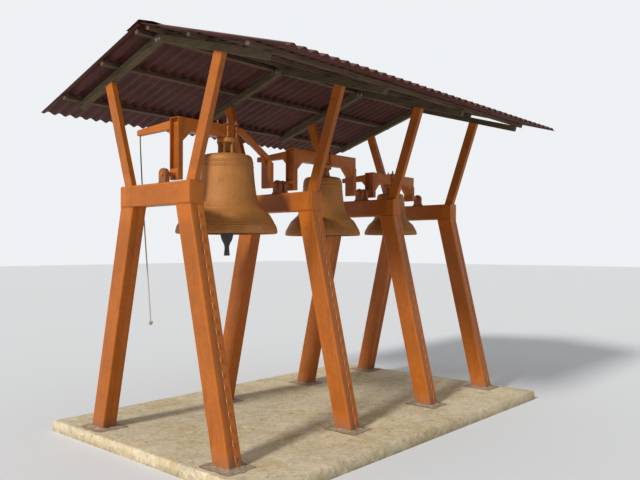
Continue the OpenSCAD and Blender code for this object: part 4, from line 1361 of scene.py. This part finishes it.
def slender_bar():
    """The first yoke's slender bar: where it starts, where its top and its underside bend, and how high both
    are from there on."""
    far, top = yoke_sizes(1)[1], yoke_sizes(1)[3]
    start, bend, slope = far - BAR_REACH, far - BAR_RUN, BAR_FALL / BAR_RUN
    cut = BAR_SIZE * math.hypot(1, slope)

    def over(y):
        """Height of the top at a place along the row."""
        return top - (y - bend) * slope

    def under(y):
        """Height of the underside at a place along the row."""
        return over(y) - cut

    return start, bend, bend - (cut - BAR_SIZE) / slope, over, under


def plate_edge():
    """Where the plate under the slender bar starts, along the row."""
    return yoke_sizes(1)[1] - POST_DEPTH - 1.4 * BAR_PLATE


def long_yoke_shapes(k):
    """Box beam of the second or third yoke: its side view as a rounded outline, carried across its width."""
    near, far, _, top, base = yoke_sizes(k)
    half, inner, outer = high("yoke_beam_1")[0], near + POST_DEPTH, far - POST_DEPTH
    corners = [(inner, base - KNEE), (inner + KNEE, base), (outer - KNEE, base), (outer, base - KNEE),
               (outer, base), (far, base), (far, top), (inner, top)]
    radii = [0.002, 0.006, 0.006, 0.002, 0.0008, 0.002, 0.003, 0.002]
    return [prism(corners, radii, ORIGIN, Y, Z, X, -half, half, edge=0.008)]


def short_yoke_shapes():
    """Box beam of the first yoke, the slender bar that goes on from it and bends down, and the plate under
    that bar's end: three side views as rounded outlines, carried across their widths."""
    near, far, _, top, base = yoke_sizes(1)
    start, bend, inner_bend, over, under = slender_bar()
    half, inner, outer = high("yoke_beam_1")[0], near + POST_DEPTH, far - POST_DEPTH
    corners = [(inner, base - KNEE), (inner + KNEE, base), (start, base), (start, top), (inner, top)]
    box = prism(corners, [0.002, 0.006, 0.004, 0.004, 0.002], ORIGIN, Y, Z, X, -half, half, edge=0.008)
    root = start - 0.004
    line = [(root, top - BAR_SIZE), (inner_bend, top - BAR_SIZE), (far, under(far)), (far, over(far)),
            (bend, top), (root, top)]
    bar = prism(line, [0.001, 0.02, 0.003, 0.003, 0.02, 0.001], ORIGIN, Y, Z, X, -BAR_SIZE / 2, BAR_SIZE / 2,
                edge=0.006)
    edge = plate_edge()
    corners = [(outer, under(outer) + 0.001), (edge, under(edge) + 0.001), (outer, under(outer) - BAR_PLATE)]
    return [box, bar, prism(corners, 0.0015, ORIGIN, Y, Z, X, -0.005, 0.005, edge=0.0012)]


def post_shapes(k):
    """A yoke's posts: channel outlines carried up, the far one until each line meets the beam or the bar, and
    the plate that closes the near one."""
    near, far, foot, top, base = yoke_sizes(k)
    outline = channel(POST_WIDTH, POST_DEPTH, POST_WALL, POST_WALL)
    near_line, far_line = outline * (1, -1) + (0, near + POST_DEPTH), outline + (0, far - POST_DEPTH)
    far_top = slender_bar()[4](far_line[:, 1]) - SEAT if k == 1 else base
    cap = block((-POST_WIDTH / 2, near, top - POST_CAP), (POST_WIDTH / 2, near + POST_DEPTH, top), edge=0.001)
    return [leaning(near_line, (0, 0), 0, foot, top - POST_CAP, rows=12),
            leaning(far_line, (0, 0), 0, foot, far_top, rows=12), cap]


def bar_welds(side):
    """One side's beads of the slender bar: on the far post, along two edges of its plate, and at its root."""
    far, top = yoke_sizes(1)[1], yoke_sizes(1)[3]
    start, under, edge = slender_bar()[0], slender_bar()[4], plate_edge()
    outer = far - POST_DEPTH
    back, corner = outer - 0.001, under(outer)
    bar_x, plate_x = side * (BAR_SIZE / 2 - 0.001), side * 0.0055
    return [side_weld(bar_x, (outer + 0.002, corner), (far - 0.003, under(far)), BAR_BEAD),
            side_weld(plate_x, (edge + 0.006, under(edge + 0.006)), (outer, corner), THIN_BEAD),
            side_weld(plate_x, (back, corner - BAR_PLATE + 0.006), (back, corner), THIN_BEAD),
            side_weld(bar_x, (start, top - BAR_SIZE + 0.003), (start, top - 0.006), BAR_BEAD)]


def yoke_welds(k):
    """A yoke's beads: down the box beam's ends, under the cap plate, along the seat on the far post or round
    the slender bar, and up beside the gudgeon blocks."""
    near, far, foot, top, base = yoke_sizes(k)
    inner, outer, cap, knee = near + POST_DEPTH, far - POST_DEPTH, top - POST_CAP, base - KNEE + 0.01
    box, post = high("yoke_beam_1")[0] - 0.001, POST_WIDTH / 2 - POST_WALL
    beads = []
    for side in (-1, 1):
        x, cap_x = side * box, side * (box + 0.0015)
        beads.append(side_weld(x, (inner, knee), (inner, top - 0.006), BOX_BEAD))
        beads.append(side_weld(cap_x, (near + 0.006, cap), (inner - 0.004, cap), THIN_BEAD))
        if k == 1:
            beads += bar_welds(side)
        else:
            beads.append(side_weld(x, (outer + 0.004, base), (far - 0.004, base), BOX_BEAD))
            beads.append(side_weld(x, (outer, knee), (outer, base - 0.006), BOX_BEAD))
    if k == 1:
        half, start, z = BAR_SIZE / 2, slender_bar()[0], top - BAR_SIZE
        beads.append(weld([(-half, start, z), (half, start, z)], BAR_BEAD))
    for y in (near + 0.001, far - 0.001):
        for x in (-post, post):
            beads.append(side_weld(x, (y, foot + 0.006), (y, foot + 0.088), BLOCK_BEAD))
    return beads


class TOWER_OT_yokes(bpy.types.Operator):
    """The yokes: welded box beams on channel posts"""
    bl_idname = "tower.yokes"
    bl_label = "Yokes"

    def execute(self, context):
        """The beam, the posts and the welds of a yoke are a piece each."""
        for k in BELLS:
            beam = short_yoke_shapes() if k == 1 else long_yoke_shapes(k)
            painted(f"yoke_{k}_box", beam, bell_body(k), [f"yoke_beam_{k}"], Y, 1.9 * k)
            painted(f"yoke_{k}_channels", post_shapes(k), bell_body(k), [f"yoke_posts_{k}"], Z, 1.1 * k)
            welded(f"yoke_{k}_welds", yoke_welds(k), bell_body(k))
        return {"FINISHED"}


def lever_line(k):
    """A lever's root and end, and the height of its middle line and half its own height at a distance from
    the axis."""
    top = yoke_sizes(k)[3]
    root, tip = POST_WIDTH / 2, -low(f"rope_lever_{k}")[0]

    def middle(x):
        """Height of the middle line, which falls a little outwards."""
        return top - LEVER_DROP - (x - root) * LEVER_FALL

    def half(x):
        """Half the lever's height, which tapers evenly from root to end."""
        return (LEVER_ROOT + (LEVER_TIP - LEVER_ROOT) * (x - root) / (tip - root)) / 2

    return root, tip, middle, half


class TOWER_OT_levers(bpy.types.Operator):
    """The tapered rope levers with the plates under their roots"""
    bl_idname = "tower.levers"
    bl_label = "Rope levers"

    def execute(self, context):
        """Lever: a tapering outline of four rounded corners, carried through its thickness. A gusset plate
        stands under its root."""
        plate_half, weld_gap = 0.005, 0.001
        for k in BELLS:
            root, tip, middle, half = lever_line(k)
            y = yoke_sizes(k)[0] + POST_DEPTH / 2
            foot, end = middle(root) - half(root), root + GUSSET
            end_foot = middle(end) - half(end)
            corners = [(-root, middle(root) + half(root)), (-tip, middle(tip) + half(tip)),
                       (-tip, middle(tip) - half(tip)), (-root, foot)]
            arm = prism(corners, 0.006, ORIGIN, X, Z, Y, y - LEVER_THICK / 2, y + LEVER_THICK / 2, edge=0.006)
            corners = [(-root, foot + 0.002), (-end, end_foot + 0.002), (-end, end_foot - 0.004),
                       (-root - 0.004, foot - GUSSET), (-root, foot - GUSSET)]
            plate = prism(corners, 0.0012, ORIGIN, X, Z, Y, y - plate_half, y + plate_half, edge=0.001)
            painted(f"lever_{k}", [arm, plate], bell_body(k), [f"rope_lever_{k}"], X, 2.7 * k)
            ring = weld_outline(LEVER_THICK - 0.001, 2 * half(root), 0.006)
            x = -root - weld_gap
            loop = np.column_stack([np.full(len(ring), x), ring[:, 0] + y, ring[:, 1] + middle(root)])
            beads = [weld(loop, radius=0.0038, looped=True)]
            for face in (y - plate_half, y + plate_half):
                beads.append(side_weld(x, (face, foot - GUSSET + 0.004), (face, foot - 0.004), THIN_BEAD))
            welded(f"lever_{k}_welds", beads, bell_body(k))
        return {"FINISHED"}


def rod_profile(length):
    """A hanger rod's profile: plain below, and near its top a radius that swells and sinks as a thread."""
    height = np.linspace(length - 0.058, length - 0.002, 78)
    thread = ROD_RADIUS - 0.0006 + 0.0005 * np.sin(2 * math.pi * height / THREAD)
    plain_part = [(ROD_RADIUS, 0.0), (ROD_RADIUS, length - 0.06)]
    return np.concatenate([plain_part, np.column_stack([thread, height]), [(ROD_RADIUS - 0.002, length)]])


class TOWER_OT_hangers(bpy.types.Operator):
    """The hanger rods, their top plates and nuts"""
    bl_idname = "tower.hangers"
    bl_label = "Hangers"

    def execute(self, context):
        """Rods are turned profiles, plates rounded blocks and nuts six-sided. The first bell's near rods
        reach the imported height, and all the others end a little lower."""
        plate_half, plate_top, shorter = 0.022, 0.008, 0.016
        for k in BELLS:
            lowest, highest = low(f"hangers_{k}"), high(f"hangers_{k}")
            top, base = yoke_sizes(k)[3:]
            rods, plates = [], []
            for step in (-1, 1):
                y = (lowest[1] + highest[1]) / 2 + step * ROD_SPACING / 2
                plates.append(block((lowest[0], y - plate_half, top + 0.0002),
                                    (highest[0], y + plate_half, top + plate_top), edge=0.0015))
                length = highest[2] - base - (0 if k == 1 and step < 0 else shorter)
                for side in (-1, 1):
                    at = np.array([side * (highest[0] - ROD_EDGE), y, base])
                    rods.append(turned(rod_profile(length), at, Z, 20))
                    rods += hexagon(at + (0, 0, 0.0005), Z, across=0.0215, height=0.011)
                    rods += hexagon(at + (0, 0, top - base + plate_top), Z, across=0.024, height=0.013,
                                    washer=0.0145)
            piece(f"hanger_rods_{k}", rods, finish_of("rod_primer"), bell_body(k),
                  [f"hangers_{k}"], Z, k)
            piece(f"hanger_plates_{k}", plates, finish_of("rusted_iron"), bell_body(k),
                  (), X, k)
        return {"FINISHED"}


def bell_sizes(k):
    """Mouth radius, lip height, place along the row, and the height left between crown and yoke."""
    lowest, highest = low(f"bell_{k}"), high(f"bell_{k}")
    radius = highest[0]
    return radius, lowest[2], (lowest[1] + highest[1]) / 2, highest[2] - lowest[2] - CROWN * radius


def bell_walls(radius, ring_height):
    """Outer and inner profile of a bell: smooth lines that meet at the lip. The outer one is moved square off
    itself by a narrow hump at each cast ring, the exponential of minus a fourth power."""
    wall = evenly(smooth_line(OUTER_WALL * radius, 12), 0.0042)
    share = wall[:, 1] / radius
    hump = sum(size * np.exp(-((share - at) / wide)**4) for at, size, wide in BELL_RINGS)
    slope = unit(np.gradient(wall, axis=0))
    off_wall = np.column_stack([slope[:, 1], -slope[:, 0]])
    wall = wall + off_wall * (ring_height * hump * radius / LARGEST_RADIUS)[:, None]
    core = evenly(smooth_line(INNER_WALL * radius, 8), 0.012)
    seam, stub = LIP_SEAM * radius, AXIS_STUB * radius
    outer = np.concatenate([seam, wall, [(stub, CROWN * radius)]])
    return outer, np.concatenate([[(stub, CORE_TOP * radius)], core, seam])


def crown_shapes(radius, crown, head):
    """What joins a bell to its yoke. Disc: a turned profile with rounded edges. Stem: a smooth turned
    profile. Six loops: oval sections along a curve from crown to disc, thicker at both ends."""
    neck = crown - DISC_HEIGHT
    turn = np.linspace(0, math.pi / 2, 6)
    e, low_radius, high_radius = DISC_EDGE, DISC_RADIUS - DISC_EDGE, DISC_RADIUS - DISC_DRAFT - DISC_EDGE
    rim = np.column_stack([low_radius + e * np.sin(turn), neck + e - e * np.cos(turn)])
    over = np.column_stack([high_radius + e * np.cos(turn), crown - e + e * np.sin(turn)])
    parts = [turned(np.concatenate([[(0.01, neck)], rim, over, [(0.01, crown)]]), head, Z, 64)]
    stem = [(0.12 * radius, -0.002), (0.11 * radius, 0.004), (0.088 * radius, 0.02),
            (0.075 * radius, neck * 0.5), (0.085 * radius, neck - 0.008), (0.1 * radius, neck + 0.001)]
    parts.append(turned(smooth_line(stem, 6), head, Z, 40))
    bow = [(0.158 * radius, neck + 0.003), (0.150 * radius, neck * 0.84), (0.147 * radius, neck * 0.5),
           (0.150 * radius, neck * 0.2), (0.158 * radius, -0.002)]
    line = smooth_line(bow, 7)
    t = np.linspace(0, 1, len(line))
    thick = radius * (0.033 + 0.009 * np.exp(-((t - 1) / 0.12)**2) + 0.009 * np.exp(-(t / 0.12)**2))
    for angle in np.radians(np.arange(0, 360, 60)):
        out = np.array([math.cos(angle), math.sin(angle), 0])
        path = head + line[:, :1] * out + line[:, 1:] * Z
        parts.append(tube(path, thick, 16, flat=0.85, about=np.cross(Z, out)))
    return parts


def lug_shapes(radius, pin):
    """The two lugs that hold a clapper's pin: outlines with a round foot, carried through their thickness."""
    arch = np.linspace(math.pi, 2 * math.pi, 14)
    foot = LUG_RADIUS * np.column_stack([np.cos(arch), np.sin(arch)])
    outline = np.concatenate([foot, [(LUG_RADIUS, LUG_TOP * radius), (-LUG_RADIUS, LUG_TOP * radius)]])
    gap = EYE_HALF * radius + LUG_GAP
    return [prism(outline, 0.0008, pin, X, Z, Y, start, start + LUG_THICK, edge=0.0012, steps=1)
            for start in (gap, -gap - LUG_THICK)]


class TOWER_OT_bells(bpy.types.Operator):
    """The cast bells: walls with their rings, crown loops, disc and clapper lugs"""
    bl_idname = "tower.bells"
    bl_label = "Bells"

    def execute(self, context):
        """Both walls are profiles turned about the bell's axis. The inside and its lugs are a piece apart."""
        s = context.scene.tower_bells
        for k in BELLS:
            radius, lip, y, crown = bell_sizes(k)
            centre = np.array([0, y, lip])
            outer, inner = bell_walls(radius, s.ring)
            cast = [turned(outer, centre, Z, s.sides, caps=False)]
            cast += crown_shapes(radius, crown, centre + Z * CROWN * radius)
            piece(f"bell_{k}_cast", cast, finish_of("weathered_bronze"), bell_body(k),
                  [f"bell_{k}"])
            hollow = [turned(inner, centre, Z, s.sides, caps=False)]
            hollow += lug_shapes(radius, centre + Z * PIN_HEIGHT * radius)
            piece(f"bell_{k}_inside", hollow, finish_of("bell_inside"), bell_body(k))
        return {"FINISHED"}


class TOWER_OT_clappers(bpy.types.Operator):
    """The forged clappers on their pins"""
    bl_idname = "tower.clappers"
    bl_label = "Clappers"

    def execute(self, context):
        """Clapper: one smooth turned profile for rod, ball and tail. The eye and the pin are turned along the
        row."""
        pin_radius, washer = 0.0087, [(0.014, 0.0005), (0.014, 0.004), (0.012, 0.0055), (0.006, 0.0062)]
        for k in BELLS:
            radius, lip, y = bell_sizes(k)[:3]
            pivot = np.array([0, y, lip + PIN_HEIGHT * radius])
            eye, pin = EYE_HALF * radius, EYE_HALF * radius + LUG_GAP + LUG_THICK
            rod = smooth_line(CLAPPER_WALL * radius, 5)
            profile = np.concatenate([[(0.026 * radius, -0.0075)], rod, CLAPPER_END * radius])
            barrel = [(0.0195, -eye), (0.0215, -eye + 0.0015), (0.022, 0), (0.0215, eye - 0.0015),
                      (0.0195, eye)]
            parts = [turned(profile, pivot, Z, 40), turned(barrel, pivot, Y, 36),
                     turned([(pin_radius, -pin), (pin_radius, pin)], pivot, Y, 24)]
            parts += [turned(washer, pivot + way * pin * Y, Y * way, 20) for way in (-1, 1)]
            piece(f"clapper_{k}_forged", parts, finish_of("dark_iron"), f"clapper_{k}",
                  [f"clapper_{k}"], Z, k)
        return {"FINISHED"}


def rope_line():
    """The rope's middle line: cubic spans through its route, whose slope at each point is half the way from
    the point before to the point after."""
    _, tip, middle, half = lever_line(1)
    x = tip - 0.02
    top = np.array([-x, yoke_sizes(1)[0] + POST_DEPTH / 2, middle(x) - half(x) - 0.0001])
    points = top + ROPE_STEPS[:, :1] * X + ROPE_STEPS[:, 1:] * Z
    before, after = np.vstack([points[:1], points[:-1]]), np.vstack([points[1:], points[-1:]])
    slope = (after - before) / 2
    return evenly(spans(points, slope[:-1], slope[1:], 40), 0.004)


def knot_shape(middle):
    """A tube along a trefoil, whose distance from the axis is two plus the cosine of three turns to each two
    turns round it."""
    size, radius = 0.0056, 0.0055
    turn = np.linspace(0, 2 * math.pi, 90, endpoint=False)
    away = 2 + np.cos(3 * turn)
    path = (away * np.cos(2 * turn))[:, None] * Y + (away * np.sin(2 * turn))[:, None] * Z
    path = path + (1.25 * np.sin(3 * turn))[:, None] * X
    return tube(middle + size * path, radius, 12, looped=True)


class TOWER_OT_rope(bpy.types.Operator):
    """The bell rope, laid of three strands, with a knot at its lower end"""
    bl_idname = "tower.rope"
    bl_label = "Bell rope"

    def execute(self, context):
        """Rope: a section with three lobes, which turns as it is carried along the middle line."""
        s = context.scene.tower_bells
        line = rope_line()
        reach = path_lengths(line)
        heading = unit(np.gradient(line, axis=0))
        side = unit(np.cross(Y, heading))
        up = np.cross(heading, side)
        turn = np.linspace(0, 2 * math.pi, 18, endpoint=False)[None, :]
        lobes = np.abs(np.cos(1.5 * (turn - 2 * math.pi * reach[:, None] / s.strand_pitch)))
        radius = s.rope / 2 * (0.80 + 0.20 * lobes)
        points = line[:, None] + radius[..., None] * (np.cos(turn)[..., None] * side[:, None]
                                                      + np.sin(turn)[..., None] * up[:, None])
        fibre = finish_of("rope_fibre")
        rope = piece("rope", [surface(points)], fibre, bell_body(1), ["bell_rope"], Z, 0)
        tie = piece("rope_knot", [knot_shape(line[-1] - heading[-1] * 0.012)], fibre, bell_body(1))
        return {"FINISHED"}


def studio_world(strength):
    """Soft light from all round. Camera, mirror and glass rays see a plain pale ground instead of it."""
    light_colour, seen_colour = (0.93, 0.96, 1.0, 1), (0.86, 0.88, 0.90, 1)
    world = bpy.data.worlds.new("studio")
    world.use_nodes = True
    tree = world.node_tree
    light, seen = tree.nodes["Background"], tree.nodes.new("ShaderNodeBackground")
    mixed, rays = tree.nodes.new("ShaderNodeMixShader"), tree.nodes.new("ShaderNodeLightPath")
    for node, colour, power in ((light, light_colour, strength), (seen, seen_colour, 1.0)):
        node.inputs["Color"].default_value = colour
        node.inputs["Strength"].default_value = power
    share = rays.outputs["Is Camera Ray"]
    for ray in ("Is Glossy Ray", "Is Transmission Ray"):
        either = tree.nodes.new("ShaderNodeMath")
        either.operation = "MAXIMUM"
        tree.links.new(share, either.inputs[0])
        tree.links.new(rays.outputs[ray], either.inputs[1])
        share = either.outputs[0]
    for source, socket in zip((share, light.outputs[0], seen.outputs[0]), mixed.inputs):
        tree.links.new(source, socket)
    tree.links.new(mixed.outputs[0], tree.nodes["World Output"].inputs["Surface"])
    return world


class TOWER_OT_stage(bpy.types.Operator):
    """The floor, the light and the camera"""
    bl_idname = "tower.stage"
    bl_label = "Stage"

    def execute(self, context):
        """A wide square floor, one large soft key light, the studio's own light, and the camera."""
        scene = context.scene
        s, reach = scene.tower_stage, 60
        scene.view_settings.view_transform = "Standard"
        mesh = bpy.data.meshes.new("floor")
        corners = [(-reach, -reach, 0), (reach, -reach, 0), (reach, reach, 0), (-reach, reach, 0)]
        mesh.from_pydata(corners, [], [(0, 1, 2, 3)])
        floor = bpy.data.objects.new("floor", mesh)
        scene.collection.objects.link(floor)
        pale, grey = Finish("floor_plain"), setting("floor")
        mesh.materials.append(pale.done(pale.blend(pale.noise(0.8, 2), grey, tint(grey, 0.985)), 0.9))
        sun = bpy.data.lights.new("key", "SUN")
        sun.energy, sun.angle = s.sun, math.radians(9)
        key = bpy.data.objects.new("key", sun)
        key.rotation_euler = (math.radians(57), 0, math.radians(4))
        scene.collection.objects.link(key)
        scene.world = studio_world(s.sky)
        camera = bpy.data.cameras.new("view")
        camera.lens, camera.sensor_width, camera.clip_end = s.lens, 36, 200
        eye = bpy.data.objects.new("view", camera)
        eye.location = s.camera
        eye.rotation_euler = (math.pi / 2 + s.tilt, 0, s.turn)
        scene.collection.objects.link(eye)
        scene.camera = eye
        return {"FINISHED"}


class TOWER_PT_pieces(bpy.types.Panel):
    """Lists the tower's pieces and settings"""
    bl_idname = "TOWER_PT_pieces"
    bl_label = "Bell tower"
    bl_space_type = "VIEW_3D"
    bl_region_type = "UI"
    bl_category = "Bell tower"

    def draw(self, context):
        """A button for each piece, and a box of fields for each group of settings."""
        for operator in OPERATORS:
            self.layout.operator(operator.bl_idname)
        for group in SETTINGS:
            box = self.layout.box()
            settings = getattr(context.scene, group)
            for key in SETTINGS[group].__annotations__:
                box.prop(settings, key)


SETTINGS = {
    "tower_frame": TowerFrameSettings, "tower_roof": TowerRoofSettings, "tower_bells": TowerBellSettings,
    "tower_stage": TowerStageSettings, "tower_colours": TowerColours}
OPERATORS = (
    TOWER_OT_stage, TOWER_OT_rope, TOWER_OT_pad, TOWER_OT_mortar, TOWER_OT_legs, TOWER_OT_beams,
    TOWER_OT_arms, TOWER_OT_rafters, TOWER_OT_battens, TOWER_OT_sheets, TOWER_OT_ridge, TOWER_OT_bearings,
    TOWER_OT_gudgeons, TOWER_OT_yokes, TOWER_OT_levers, TOWER_OT_hangers, TOWER_OT_bells, TOWER_OT_clappers)
CLASSES = (*SETTINGS.values(), *OPERATORS, TOWER_PT_pieces)


def register():
    """Makes the settings, the operators and the panel known, and puts the settings on the scene."""
    for cls in CLASSES:
        bpy.utils.register_class(cls)
    for name, cls in SETTINGS.items():
        setattr(bpy.types.Scene, name, PointerProperty(type=cls))


def unregister():
    """Takes all of it away again."""
    for name in SETTINGS:
        delattr(bpy.types.Scene, name)
    for cls in reversed(CLASSES):
        bpy.utils.unregister_class(cls)


def main():
    """Registers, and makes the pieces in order."""
    register()
    for operator in OPERATORS:
        group, name = operator.bl_idname.split(".")
        getattr(getattr(bpy.ops, group), name)()


if __name__ == "__main__":
    main()
